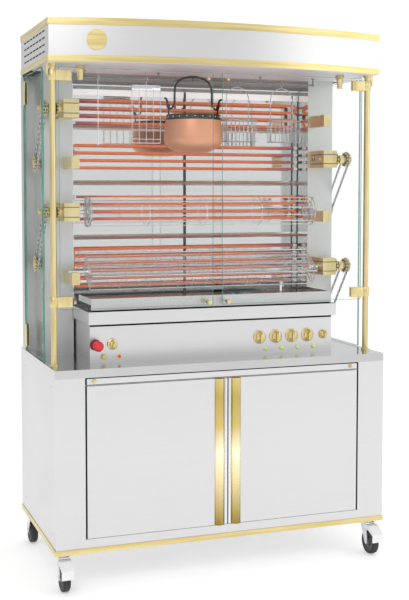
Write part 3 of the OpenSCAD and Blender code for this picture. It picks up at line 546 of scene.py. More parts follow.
def smooth_path(points, steps=6):
    """Catmull-Rom curve through the points."""
    pts = [Vector(p) for p in points]
    pts = [pts[0] * 2 - pts[1]] + pts + [pts[-1] * 2 - pts[-2]]
    out = []
    for i in range(1, len(pts) - 2):
        a, b, c, d = pts[i - 1:i + 3]
        for k in range(steps):
            t = k / steps
            out.append(0.5 * ((2 * b) + (c - a) * t + (2 * a - 5 * b + 4 * c - d) * t * t
                              + (3 * b - a - 3 * c + d) * t ** 3))
    out.append(pts[-2])
    return out


def sided(s, x0, x1):
    """The span from x0 to x1 away from the middle, on the side s."""
    return sorted((s * x0, s * x1))


# ---- glass

def add_pane(shape, p, q, axis, arris=0.9):
    """Pane with a small arris; slot 0 is its two faces and slot 1 its ground edges."""
    bm = bmesh.new()
    bmesh.ops.create_cube(bm, size=1.0)
    bmesh.ops.scale(bm, vec=[b - a for a, b in zip(p, q)], verts=bm.verts)
    bmesh.ops.bevel(bm, geom=bm.edges[:], offset=arris, segments=1, profile=0.5, affect="EDGES")
    bmesh.ops.translate(bm, vec=[(a + b) / 2 for a, b in zip(p, q)], verts=bm.verts)
    bm.normal_update()
    faces = [abs(f.normal[axis]) > 0.95 for f in bm.faces]
    start = len(shape.m)
    shape.from_bmesh(bm)
    for i, is_face in enumerate(faces):
        shape.m[start + i] = 0 if is_face else 1


def glass_doors():
    for side, s in SIDES:
        pane = Shape()
        x0, x1 = sided(s, PANE_X0, PANE_X1)
        add_pane(pane, (x0, POST_Y - PANE_HALF, PANE_Z0), (x1, POST_Y + PANE_HALF, PANE_Z1), 1)
        pane.put(f"door_pane_{side}", ["glass_face", "glass_edge"], f"glass_door_{side}", "glass",
                 [f"glass_door_{side}"], 20)
        fit = Shape()
        for z in (1066, 1923):
            for y0, y1 in ((-8.5, -3.1), (3.1, 8.5)):
                fit.side_box(s, (592, POST_Y + y0, z), (POST_X - 10, POST_Y + y1, z + 42), 2.2, 3)
            fit.revolve([(POST_R + 0.3, 0.6), (POST_R + 3, 0.6), (POST_R + 3.6, 1.4), (POST_R + 3.6, 40.6),
                         (POST_R + 3, 41.4), (POST_R + 0.3, 41.4), (POST_R + 0.3, 0.6)],
                         (s * POST_X, POST_Y, z))
            for dz in (11, 31):
                fit.revolve([(0, 11), (2.8, 11), (4.2, 10.2), (4.4, 8.2)], (s * 606, POST_Y, z + dz), "-Y",
                            24)
        # Turned knob with its nut inside, and the catch at the top
        knob, catch = (s * 41, POST_Y, 1068), (s * 41, POST_Y, 1950)
        fit.revolve([(0, 26), (6.8, 26), (8.7, 24.8), (9.3, 22.5), (9.3, 15), (8.4, 12.4), (5.2, 11),
                     (4.6, 7),
                     (6.2, 4.6), (6.6, 3.1)], knob, "-Y", 36)
        fit.revolve([(6.9, -3.1), (6.9, -6.6), (5.8, -7.8), (0, -7.8)], knob, "-Y", 24)
        fit.revolve([(0, 13), (3.8, 13), (5, 12), (5.2, 5), (5.2, 3.1)], catch, "-Y", 28)
        fit.revolve([(5.2, -3.1), (5.2, -6), (0, -6)], catch, "-Y", 28)
        fit.put(f"door_fittings_{side}", "brass", f"glass_door_{side}", "brass")


def side_glasses():
    for side, s in SIDES:
        pane = Shape()
        x0, x1 = sided(s, 679, 687)
        add_pane(pane, (x0, -125, COUNTER_Z + 3), (x1, 230, CEILING_Z - 6), 0)
        pane.put(f"side_pane_{side}", ["glass_face", "glass_edge"], f"side_glass_{side}", "glass",
                 [f"side_glass_{side}"], 20)
        fit = Shape()
        for z in (858, 1862):
            for x0, x1 in ((687.1, 689.2), (676.8, 678.9)):
                fit.side_box(s, (x0, 200, z + 2), (x1, 236, z + 98), 0.8)
            for k in range(3):
                fit.revolve([(2.8, 0), (5.2, 0), (5.6, 0.6), (5.6, 31), (5.2, 31.6), (2.8, 31.6), (2.8, 0)],
                            (s * 683, 238, z + 1 + 33 * k), "Z", 24)
            for dz in (22, 50, 78):
                fit.revolve([(0, s * 3.4), (2.2, s * 3.4), (3.6, s * 2.4), (3.8, 0)], (s * 687, 214, z + dz),
                            "X", 20)
        fit.put(f"side_hinges_{side}", "brass", f"side_glass_{side}", "brass")


# ---- heating

def element_details():
    sleeves = Shape()
    for row in range(4):
        s = -1 if row % 2 == 0 else 1
        for k in range(ROW_TUBES[row]):
            at = (0, TUBE_Y, ROW_TOP[row] - k * TUBE_PITCH)
            sleeves.slot = 0
            sleeves.revolve([(4.6, 492), (6.4, 492.6), (7, 494), (7, 508), (6.2, 509.5), (3, 509.5)], at,
                            "X", 20, s)
            sleeves.slot = 1
            sleeves.revolve([(3.2, 509), (3.2, 521.5)], at, "X", 14, s)
            sleeves.revolve([(4.4, 514), (4.9, 514.6), (4.9, 517.4), (4.4, 518)], at, "X", 6, s)
    sleeves.put("element_sleeves", ["ceramic", "black"], "frame", "hot_tube", ["element_supports"])

    bars = Shape()
    stops = [1051] + [z for r in reversed(RIDGE_Z) for z in (r - 10, r + 10)] + [1933]
    for x, wide in ((-508, 1.6), (0, 4.8), (508, 1.6)):
        for z0, z1 in zip(stops[0::2], stops[1::2]):
            bars.box((x - wide, RECESS_Y - 8, z0 + 0.4), (x + wide, RECESS_Y - 2.1, z1 - 0.4), 0.6, 1)
    bars.put("element_bars", "black", "frame", "dark_iron")

    clips = Shape()
    for row in range(4):
        s = 1 if row % 2 == 0 else -1
        clips.slot = 0 if s > 0 else 1
        for k in range(ROW_TUBES[row] - 1):
            z0 = ROW_TOP[row] - (k + 1) * TUBE_PITCH + TUBE_R + 0.3
            z1 = ROW_TOP[row] - k * TUBE_PITCH - TUBE_R - 0.3
            mid = (z0 + z1) / 2
            half = (z1 - z0) / 2 if row == 0 and k < 2 else 5
            clips.side_box(s, (CLIP_X - 6, RECESS_Y - 6, mid - half),
                           (CLIP_X + (6 if row == 0 else 12), RECESS_Y - 2.1, mid + half), 0.8, 1)
            clips.slot = 1
            clips.rod((s * CLIP_X, RECESS_Y - 5, mid), (s * CLIP_X, TUBE_Y - 2, mid), 1.2, 8)
            clips.rod((s * CLIP_X, TUBE_Y, z0), (s * CLIP_X, TUBE_Y, z1), 1.2, 8)
            clips.slot = 0 if s > 0 else 1
    clips.put("element_clips", ["black", "chrome"], "frame", "dark_iron")

    noses = Shape()
    for z in RIDGE_Z:
        # Satin skins over the ridge's two slopes, and a nose painted orange with the glowing tubes'
        # reflection
        for up in (-1, 1):
            noses.slot = 1
            line = [(RECESS_Y - 2.3, z + up * 10.2), (RECESS_Y - 26.2, z + up * 2.2),
                    (RECESS_Y - 26.2, z + up * 1.2),
                    (RECESS_Y - 2.3, z + up * 9.2)]
            ends = [[(x, y, w) for y, w in line] for x in (-RECESS_X + 2.6, RECESS_X - 2.6)]
            walls = [[k, (k + 1) % 4, (k + 1) % 4 + 4, k + 4] for k in range(4)]
            noses.add(ends[0] + ends[1], [[0, 1, 2, 3], [7, 6, 5, 4]] + walls)
        noses.slot = 0
        noses.sweep([(-RECESS_X + 2.5, RECESS_Y - 26, z), (RECESS_X - 2.5, RECESS_Y - 26, z)], 3.4, 12)
    noses.put("ridge_noses", ["nose_painted_reflection", "satin"], "frame", "polished_steel")

    tubes = Shape()
    r = TUBE_PITCH / 2
    for row in range(4):
        s = 1 if row % 2 == 0 else -1
        for k in range(0, ROW_TUBES[row], 2):
            z = ROW_TOP[row] - k * TUBE_PITCH
            turn = arc((488, TUBE_Y, z - r), r, 90, -90, 14)
            line = [(-499, TUBE_Y, z)] + turn + [(-499, TUBE_Y, z - TUBE_PITCH)]
            tubes.sweep([(s * x, y, w) for x, y, w in line], TUBE_R + 0.8, 12)
    tubes.put("hot_tubes", "hot_tube", "frame", "hot_tube", ["heating_elements"])


# ---- chains and wheels

def chain_links():
    chain = Shape()
    pitch, loop_r, span = 12.7, 28.0, math.hypot(MOTOR_DY, MOTOR_DZ)
    along = (MOTOR_DY / span, MOTOR_DZ / span)
    across = (-along[1], along[0])
    total = 2 * span + 2 * math.pi * loop_r
    count = 2 * round(total / pitch / 2)

    def on_loop(t):
        """Point and tangent in the wheel's plane. The second half is the first turned about the middle."""
        if t >= total / 2:
            u, w, tu, tw = on_loop(t - total / 2)
            return span - u, -w, -tu, -tw
        if t < span:
            return t, loop_r, 1.0, 0.0
        a = math.pi / 2 - (t - span) / loop_r
        return span + loop_r * math.cos(a), loop_r * math.sin(a), math.sin(a), -math.cos(a)

    # Half length of a link between its round ends, their radius, and the wire's radius
    half, r_end, wire = 5.4, 3.9, 2.1
    for s, spit_z in zip(DRIVE, SPIT_Z):
        for n in range(count):
            u, w, tu, tw = on_loop(total * n / count)
            mid = Vector((s * CHAIN_X, SPIT_Y + u * along[0] + w * across[0],
                          spit_z + u * along[1] + w * across[1]))
            ahead = Vector((0, tu * along[0] + tw * across[0], tu * along[1] + tw * across[1])).normalized()
            side = Vector((1, 0, 0)) if n % 2 else ahead.cross(Vector((1, 0, 0))).normalized()
            link = []
            for end in (1, -1):
                for k in range(5):
                    a = math.radians(-90 + 45 * k)
                    out = ahead * (half + r_end * math.cos(a)) + side * r_end * math.sin(a)
                    link.append(mid + end * out)
            chain.sweep(link, wire, 6, closed=True)
    chain.put("drive_chain_links", "nickel", "frame", "zinc", ["drive_chains"], 60)


def lobed_disc(shape, x, centre, core_slot, lobe_slot):
    """Disc with twelve round lobes, with painted shade on the faces inside the ring of lobes."""
    s = 1 if x > 0 else -1
    shape.slot = core_slot
    shape.revolve([(0, x), (24.5, x), (27.6, x + s * 0.6), (27.6, x + s * 4.4), (24.5, x + s * 5),
                   (0, x + s * 5)],
                  centre, "X", 48)
    shape.slot = lobe_slot
    for u, w in around(12, 27):
        at = (0, centre[1] + u, centre[2] + w)
        shape.revolve([(0, x - s * 0.2), (3.8, x - s * 0.2), (4.7, x + s * 0.6), (4.7, x + s * 4.4),
                       (3.8, x + s * 5.2),
                       (0, x + s * 5.2)], at, "X", 16)


def chain_wheel(shape, s, y, z):
    """Two lobed discs with the groove for the chain between them, in slots 0 (brass) and 1 (brass with
    painted shade).
    """
    for x in (CHAIN_X - 10, CHAIN_X + 5):
        lobed_disc(shape, s * x, (0, y, z), 1, 0)
    shape.slot = 1
    shape.revolve([(22.6, s * (CHAIN_X - 5)), (22.6, s * (CHAIN_X + 5))], (0, y, z), "X", 40)
    shape.slot = 0
    for outer, inner in ((649.4, 649.9), (670.6, 670.1)):
        shape.revolve([(9, s * outer), (17, s * outer), (17.6, s * inner)], (0, y, z), "X", 32)


def drive_wheels():
    for i in range(4):
        s, z = DRIVE[i], SPIT_Z[i]
        wheel = Shape()
        chain_wheel(wheel, s, SPIT_Y, z)
        lobed_disc(wheel, s * 607.5, (0, SPIT_Y, z), 1, 0)
        # Spindle in the arm, neck in painted shade, hub of the chain wheel, and the nut on its end
        for slot, sides, profile in (
                (0, 44, [(0, 525), (11.8, 525), (11.8, 593.5), (17.8, 593.5), (18.8, 594.5), (18.8, 606)]),
                (1, 44, [(15, 612), (15, 622), (18.8, 623)]),
                (0, 44, [(18.8, 623), (19, 624), (19, 643), (16, 646), (16, 650)]),
                (0, 6, [(11, 670), (11, 683.4), (9.6, 684.8), (0, 684.8)])):
            wheel.slot = slot
            wheel.revolve(profile, (0, SPIT_Y, z), "X", sides, s)
        wheel.put(f"drive_wheel_{i + 1}", ["brass", "shaded_brass"], f"spit_{i + 1}", "brass",
                  [f"spindle_{i + 1}"], 35)
        lower = Shape()
        y, z = SPIT_Y + MOTOR_DY, SPIT_Z[i] + MOTOR_DZ
        chain_wheel(lower, s, y, z)
        lower.slot = 0
        lower.revolve([(0, 600.5), (5.8, 600.5), (5.8, 650)], (0, y, z), "X", 28, s)
        lower.revolve([(9, 670.4), (9, 672.4), (4, 672.8), (0, 672.8)], (0, y, z), "X", 28, s)
        lower.put(f"motor_wheel_{i + 1}_lobes", ["brass", "shaded_brass"], f"motor_wheel_{i + 1}", "brass",
                  [f"motor_wheel_{i + 1}"], 35)


def arm_details():
    """Bearing caps, clamp screws and painted shade in the grooves and slots of the spit arms."""
    parts, dark = Shape(), Shape()
    for s, z in zip(DRIVE, SPIT_Z):
        for x in (542, 580):
            for dz in (28, -29):
                parts.revolve([(0, 49.6), (2.6, 49.6), (3.6, 48.8), (3.8, 47)], (s * x, SPIT_Y, z + dz),
                              "-Y", 6)
        parts.revolve([(13, s * 592), (17.2, s * 592), (17.6, s * 593), (17.6, s * 595.5), (16.4, s * 596)],
                      (0, SPIT_Y, z), "X", 40)
        parts.revolve([(0, 49.6), (2.6, 49.6), (3.8, 48.8), (4, 47)], (-s * 546, SPIT_Y, z - 34), "-Y", 6)
        # Painted shade: thin dark sheets in the grooves and slots of each arm
        for groove in (z - ARM_GROOVE_Z - 2.9, z + ARM_GROOVE_Z + 0.1):
            dark.side_box(s, (530.2, SPIT_Y - 42, groove), (591.8, SPIT_Y - 39.2, groove + 2.8))
            dark.side_box(s, (529.4, SPIT_Y - 38, groove), (529.9, SPIT_Y + 70, groove + 2.8))
        for y in (0, 38, 60):
            dark.side_box(s, (529.2, SPIT_Y + y, z - 5), (529.9, SPIT_Y + y + 8, z + 5))
    parts.put("arm_screws", "brass", "frame", "brass", (), 30)
    dark.put("arm_slot_shade", "dark", "frame", "dark_iron")


def tyre_and_hub(name, sx, sy):
    wheel = Shape()
    centre = (sx * CASTER_X, sy * AXLE_Y, AXLE_Z)
    wheel.revolve([(37, -13.2), (39, -14.6), (45.5, -15), (48.4, -12.6), (49.7, -8), (50, 0), (49.7, 8),
                   (48.4, 12.6),
                   (45.5, 15), (39, 14.6), (37, 13.2)], centre, "X", 72)
    wheel.slot = 1
    for e in (-1, 1):
        wheel.revolve([(37.2, 13.4), (34.5, 12.2), (31, 8.6), (20, 8), (17.6, 12), (16.8, 15.4), (9, 15.8),
                       (5.2, 15.8)], centre, "X", 48, e)
    wheel.slot = 2
    for e in (-1, 1):
        wheel.revolve([(8.4, 15.7), (8.2, 16.1), (5.1, 16.1)], centre, "X", 28, e)
    wheel.put(f"tyre_{name}", ["rubber", "hub", "zinc"], f"caster_wheel_{name}", "black_tyre",
              [f"caster_wheel_{name}"])


def caster_details():
    for name, sx, sy in (("fl", -1, -1), ("fr", 1, -1), ("rl", -1, 1), ("rr", 1, 1)):
        tyre_and_hub(name, sx, sy)
        nuts = Shape()
        axle = (sx * CASTER_X, sy * AXLE_Y, AXLE_Z)
        for e in (-1, 1):
            nuts.revolve([(0, 23.9), (4.8, 23.9), (6.2, 23.2), (6.6, 20.7)], axle, "X", 6, e)
            nuts.revolve([(9, 20.6), (9, 21.3), (5.5, 21.6)], axle, "X", 24, e)
        # Raceway under the plate
        nuts.revolve([(24, 124.4), (27.8, 125), (28.4, 127.4), (27.8, 130), (25, 131.2), (22.4, 131.4)],
                     (sx * CASTER_X, sy * SWIVEL_Y, 0), "Z", 40)
        nuts.put(f"fork_nuts_{name}", "zinc", f"caster_fork_{name}", "zinc", (), 30)
    for side, sx in SIDES:
        name = "fl" if sx < 0 else "fr"
        tread = Shape()
        for k in range(4):
            y, z = -SWIVEL_Y - 62 - k * 7.4, 121.6 - k * 6.3
            tread.rod((sx * CASTER_X - 19, y, z), (sx * CASTER_X + 19, y, z), 1.1, 8)
        tread.put(f"pedal_ribs_{name}", "pedal", f"brake_pedal_{side}", "zinc")


# ---- control panel

def bar_knob(name, x, r, body):
    knob = Shape()
    at = (x, PANEL_Y, KNOB_Z)
    knob.revolve([(0, 4.6), (r * 0.66, 4.6), (r * 0.70, 3.9), (r * 0.80, 3.9), (r * 0.84, 4.9),
                  (r * 0.95, 4.7),
                  (r, 3.4), (r, 0.4)], at, "-Y", 56)
    knob.revolve([(0, 12.5), (r * 0.52, 12.5), (r * 0.60, 11.4), (r * 0.64, 4.4)], at, "-Y", 48)
    knob.box((x - r * 0.17, PANEL_Y - 24.5, KNOB_Z - r * 0.80),
             (x + r * 0.17, PANEL_Y - 4.5, KNOB_Z + r * 0.80),
             r * 0.075, 3)
    knob.slot = 1
    knob.box((x - r * 0.045, PANEL_Y - 24.9, KNOB_Z + r * 0.36),
             (x + r * 0.045, PANEL_Y - 24.2, KNOB_Z + r * 0.78))
    for k in range(9):
        a = math.radians(-60 + k * 37.5)
        u, w = math.sin(a), math.cos(a)
        if abs(u) < 0.3 and w > 0:
            continue
        knob.sweep([(x + u * r * 0.86, PANEL_Y - 5.0, KNOB_Z + w * r * 0.86),
                    (x + u * r * 0.93, PANEL_Y - 4.9, KNOB_Z + w * r * 0.93)], 0.5, 6)
    knob.put(f"{name}_grip", ["brass", "black"], body, "brass", [body])


def key_selector():
    key = Shape()
    at = (KEY_X, PANEL_Y, KNOB_Z)
    key.revolve([(0, 5), (11, 5), (12.2, 6), (17, 6), (20.6, 5), (22, 3), (22, 0.4)], at, "-Y", 56)
    key.revolve([(0, 13), (9, 13), (11, 11.6), (11.4, 5)], at, "-Y", 40)
    key.box((KEY_X - 3.6, PANEL_Y - 24, KNOB_Z - 15), (KEY_X + 3.6, PANEL_Y - 11, KNOB_Z + 15), 1.8, 3)
    key.slot = 1
    key.box((KEY_X - 0.9, PANEL_Y - 24.4, KNOB_Z + 4), (KEY_X + 0.9, PANEL_Y - 23.6, KNOB_Z + 14))
    key.put("key_selector", ["brass", "black"], "key_switch", "brass", ["key_switch"])


def push_buttons():
    stop = Shape()
    at = (STOP_X, PANEL_Y, KNOB_Z)
    stop.slot = 1
    stop.revolve([(15, 10.5), (15, 20), (14, 22), (14, 34), (15.5, 37), (15.5, 42)], at, "-Y", 40)
    stop.slot = 0
    stop.revolve([(15, 40), (19, 41), (20, 43.5), (20, 55), (18.8, 58.6), (15.8, 61), (10, 62), (0, 62)], at,
                 "-Y", 48)
    for u, w in around(14, 20):
        stop.rod((STOP_X + u, PANEL_Y - 44.5, KNOB_Z + w), (STOP_X + u, PANEL_Y - 54.5, KNOB_Z + w), 0.9, 8)
    stop.put("stop_cap", ["red", "dark_red"], "stop_button", "red_plastic", ["stop_button"])

    collar = Shape()
    collar.revolve([(15.6, 9), (18, 9), (21, 7), (22, 4), (22, 0.1)], at, "-Y", 48)
    collar.put("stop_collar", "dark_red", "frame", "red_plastic")

    at = (START_X, PANEL_Y, LAMP_Z)
    start = Shape()
    start.revolve([(0, 10), (5.4, 10), (7.4, 9.2), (8, 7.6), (8, 4.6)], at, "-Y", 36)
    start.put("start_cap", "yellow", "start_button", "yellow_plastic", ["start_button"])
    rim = Shape()
    rim.revolve([(8.3, 5), (10.4, 5), (11.4, 3.6), (11.6, 0.1)], at, "-Y", 36)
    rim.put("start_bezel", "brass", "frame", "brass")


def pilots():
    lamps = Shape()
    for x, slot in [(x + LAMP_DX, 0) for x in KNOB_X] + [(RED_X, 1)]:
        lamps.slot = slot
        lamps.revolve([(0, 9), (3.4, 8.6), (5.6, 6.8), (6.5, 4.2), (6.5, 2.4)], (x, PANEL_Y, LAMP_Z), "-Y",
                      28)
        lamps.slot = 2
        lamps.revolve([(6.4, 2.9), (8.3, 2.9), (9.4, 2), (9.5, 0.1)], (x, PANEL_Y, LAMP_Z), "-Y", 32)
    lamps.put("pilot_lenses", ["green_lens", "red_lens", "brass"], "frame", "green_lens", ["pilot_lamps"])


# ---- baskets on the spits

def spit_ends(shape, s, z):
    """Square end in the drive's socket on the side s, and the round ones."""
    shape.side_box(s, (518, SPIT_Y - 6.8, z - 6.8), (554, SPIT_Y + 6.8, z + 6.8), 1.0)
    shape.rod((s * 519, SPIT_Y, z), (s * 486, SPIT_Y, z), 6, 20)
    shape.rod((-s * 486, SPIT_Y, z), (-s * 566, SPIT_Y, z), 7, 24)


def ring_x(shape, x, z, r, wire, steps=40):
    shape.sweep([(x, SPIT_Y + u, z + w) for u, w in around(steps, r)], wire, 8, closed=True)


def round_basket():
    cage = Shape()
    z, r, half = SPIT_Z[2], 58.5, BASKET_HALF
    spit_ends(cage, -1, z)
    for u, w in around(12, r, 0.5):
        cage.rod((-half, SPIT_Y + u, z + w), (half, SPIT_Y + u, z + w), 1.35, 8)
    for x in (-244, 0, 244):
        ring_x(cage, x, z, r, 1.5)
    cage.slot = 1
    for e in (-1, 1):
        ring_x(cage, e * half, z, r, 2.4)
        ring_x(cage, e * half, z, 34, 1.8, 28)
        ring_x(cage, e * (half - 9), z, 46, 1.6, 32)
        cage.revolve([(0, e * half - 5), (14, e * half - 5), (15, e * half - 4), (15, e * half + 4),
                      (14, e * half + 5),
                      (0, e * half + 5)], (0, SPIT_Y, z), "X", 28)
        for (y, h), (y_eye, h_eye) in zip(around(6, r), around(6, r + 1)):
            cage.rod((e * half, SPIT_Y, z), (e * half, SPIT_Y + y, z + h), 1.8, 8)
            cage.sweep([(e * (half + u), SPIT_Y + y_eye, z + h_eye + w) for u, w in around(8, 7)], 1.2, 6,
                       closed=True)
    cage.put("round_basket_wires", ["chrome", "nickel"], "spit_3", "zinc", ["round_basket"], 60)


def flat_basket():
    cage = Shape()
    half_l, half_t, half = 69, 36, BASKET_HALF
    tilt = Matrix.Rotation(math.radians(38), 3, "X")
    base = Vector((0, SPIT_Y, SPIT_Z[3]))

    def at(x, y, z):
        return tilt @ Vector((x, y, z)) + base

    spit_ends(cage, 1, SPIT_Z[3])
    for z in (-half_t, half_t):
        for y in spread(half_l, 9):
            cage.rod(at(-half, y, z), at(half, y, z), 2.7 if abs(y) == half_l else 1.1, 8)
        inner = z * (1 - 1.6 / half_t)
        for x in spread(half, 25):
            cage.rod(at(x, -half_l, inner), at(x, half_l, inner), 1.05, 6)
    for y in (-half_l, half_l):
        for z in (-12, 12):
            cage.rod(at(-half, y, z), at(half, y, z), 1.2, 6)
        for x in spread(half, 17):
            cage.rod(at(x, y, -half_t), at(x, y, half_t), 1.2, 6)
    for e in (-1, 1):
        for y in spread(half_l, 8):
            cage.rod(at(e * half, y, -half_t), at(e * half, y, half_t), 1.4, 6)
        for z in spread(half_t, 4):
            cage.rod(at(e * half, -half_l, z), at(e * half, half_l, z), 2.6 if abs(z) == half_t else 1.6, 8)
        cage.revolve([(0, e * half - 4), (13, e * half - 4), (13, e * half + 5), (0, e * half + 5)],
                     (0, SPIT_Y, SPIT_Z[3]), "X", 24)
    cage.put("flat_basket_wires", "chrome", "spit_4", "zinc", ["flat_basket"], 60)


# ---- hanging utensils

def cauldron():
    pot = Shape()
    r = 121
    belly_z, drop, rise = 1720, 53, 98
    bowl = [math.radians(a) for a in range(60, -1, -5)]
    outer = [(r * math.cos(a), belly_z - drop * math.sin(a) / math.sin(bowl[0])) for a in bowl]
    outer += [(r - 13 * (1 - math.cos(math.pi / 2 * k / 12)), belly_z + rise * k / 12) for k in range(1, 13)]
    base = [(0, 1667.4), (30, 1667.2)]
    rim = [(outer[-1][0] + 1.4, 1819.4), (outer[-1][0] - 0.4, 1820.6), (outer[-1][0] - 2.4, 1819.4)]
    inner = [(max(x - 2.2, 0), max(z, 1669.6)) for x, z in reversed(outer)]
    pot.revolve(base + outer + rim + inner + [(0, 1669.6)], (CAULDRON_X, BAIL_Y, 0), "Z", 96)
    pot.slot = 1
    top = outer[-1][0]
    pot.revolve([(top + 0.6, 1797), (top + 4.2, 1797), (top + 4.8, 1798), (top + 2.9, 1818.6),
                 (top + 2.2, 1819.4),
                 (top - 0.2, 1819.4), (top + 0.6, 1797)], (CAULDRON_X, BAIL_Y, 0), "Z", 96)
    for s in (-1, 1):
        x = CAULDRON_X + s * 106
        pot.box((x - 2.4, BAIL_Y - 8, 1798), (x + 3.4, BAIL_Y + 8, 1822), 1.2)
        pot.sweep(smooth_path([(x, BAIL_Y, 1816), (x, BAIL_Y, 1832), (x, BAIL_Y - 1, 1840)], 5), 3.6, 10)
        pot.sweep([(x, BAIL_Y + u, PIN_Z + w) for u, w in around(24, 8.4)], 3.2, 10, closed=True)
    pot.slot = 2
    for x, y in around(22, top + 4.4, 0.5):
        bm = bmesh.new()
        bmesh.ops.create_uvsphere(bm, u_segments=10, v_segments=6, radius=2.6)
        bmesh.ops.translate(bm, vec=(CAULDRON_X + x, BAIL_Y + y, 1809), verts=bm.verts)
        pot.from_bmesh(bm)
    pot.put("cauldron_pot", ["copper", "iron", "chrome"], "cauldron", "copper", ["cauldron"])

    bail = Shape()
    for s in (-1, 1):
        leg = [(0, 1973.6), (22, 1972), (46, 1966.5), (64, 1955), (76, 1937), (80, 1914), (80.5, 1886),
               (81, 1868)]
        hook = [(84, 1858), (92, 1846), (101, 1843.5), (109, 1848), (112, 1858), (111, 1870), (116, 1881),
                (124, 1886)]
        bail.sweep(smooth_path([(CAULDRON_X + s * x, BAIL_Y, z) for x, z in leg + hook], 6), 4.4, 12)
    bail.sweep([(CAULDRON_X + x, BAIL_Y, 1973.4 + 0.2 * math.cos(x / 8)) for x in range(-20, 21, 4)], 5.2, 12)
    bail.sweep(arc((CAULDRON_X, SPIT_Y, RAIL_Z), 6.4, 180, 0, 14, "YZ")[::-1]
               + [(CAULDRON_X, SPIT_Y - 6.4, RAIL_Z + 10)], 1.6, 8)
    bail.put("cauldron_bail_bar", "iron", "cauldron_bail", "dark_iron", ["cauldron_bail"])


def rail_hook(shape, x, z_end):
    """Question-mark hook over the rail, with a curled tip behind it."""
    y = SPIT_Y
    pts = [(x + 3, y - 9, RAIL_Z - 7), (x + 2, y - 7.2, RAIL_Z - 1), (x + 1, y - 5.6, RAIL_Z + 5),
           (x, y, RAIL_Z + 8.2),
           (x, y + 5.9, RAIL_Z + 4.6), (x, y + 6.6, RAIL_Z - 4), (x, y + 5.9, RAIL_Z - 14),
           (x, y + 5.9, z_end)]
    shape.sweep(smooth_path(pts, 5), 1.9, 8)


def wire_utensils():
    y = SPIT_Y + 5.9
    grill = Shape()
    x, z0, z1, w = -240, 1703, 1935, 60
    rail_hook(grill, x, z1)
    corner, u, low, top = 7, w - 7, z0 + 7, z1 - 7
    grill.sweep([p for cx, cz, a in ((x + u, top, 90), (x + u, low, 0), (x - u, low, -90), (x - u, top, 180))
                 for p in arc((cx, y, cz), corner, a, a - 90, 5)], 1.9, 8, closed=True)
    for k in (1, 2, 3):
        grill.rod((x - w + k * w / 2, y, z0), (x - w + k * w / 2, y, z1), 1.7, 8)
    for z in (z1 - 22, z0 + 16):
        grill.rod((x - w, y, z), (x + w, y, z), 1.5, 8)
    grill.box((x - w, y - 1, z1 - 22), (x + w, y - 0.2, z1), 0.2, 1)
    grill.put("grill_wires", "chrome", "hanging_grill", "zinc", ["hanging_grill"], 60)

    skewer = Shape()
    rail_hook(skewer, SKEWER_X, 1930)
    skewer.rod((SKEWER_X, y, 1932), (SKEWER_X, y, 1697), 1.5, 8)
    for z in (1838, 1694):
        skewer.revolve([(0, -4), (2.4, -3.4), (3.2, 0), (2.4, 3.4), (0, 4)], (SKEWER_X, y, z), "Z", 12)
    skewer.put("long_skewer", "chrome", "frame", "polished_steel")

    for side, x in (("left", 156), ("right", 356)):
        rack = Shape()
        rail_hook(rack, x, 1940)
        low, front, x0, x1 = RACK_Z0, y - RACK_DEPTH, x - RACK_HALF, x + RACK_HALF
        rack.sweep([(x - 50, y, low)] + arc((x, y, 1890), 50, 180, 0, 20) + [(x + 50, y, low)], 2.1, 8)
        for z in (low, RACK_Z1):
            rack.sweep([(x0, y, z), (x1, y, z), (x1, front, z), (x0, front, z)], 1.6, 8, closed=True)
        for u in (x + u for u in spread(RACK_HALF, 8)):
            rack.sweep([(u, y, RACK_Z1), (u, y, low + 2), (u, y - 2, low), (u, front + 2, low),
                        (u, front, low + 2),
                        (u, front, RACK_Z1)], 1.3, 6)
        for d in (12, 25, 38):
            rack.rod((x0, y - d, low), (x1, y - d, low), 1.2, 6)
            for u in (x0, x1):
                rack.rod((u, y - d, low), (u, y - d, RACK_Z1), 1.2, 6)
        rack.put(f"rack_wires_{side}", "nickel", f"hanging_basket_{side}", "zinc",
                 [f"hanging_basket_{side}"], 60)


# ---- cabinet and cornice details

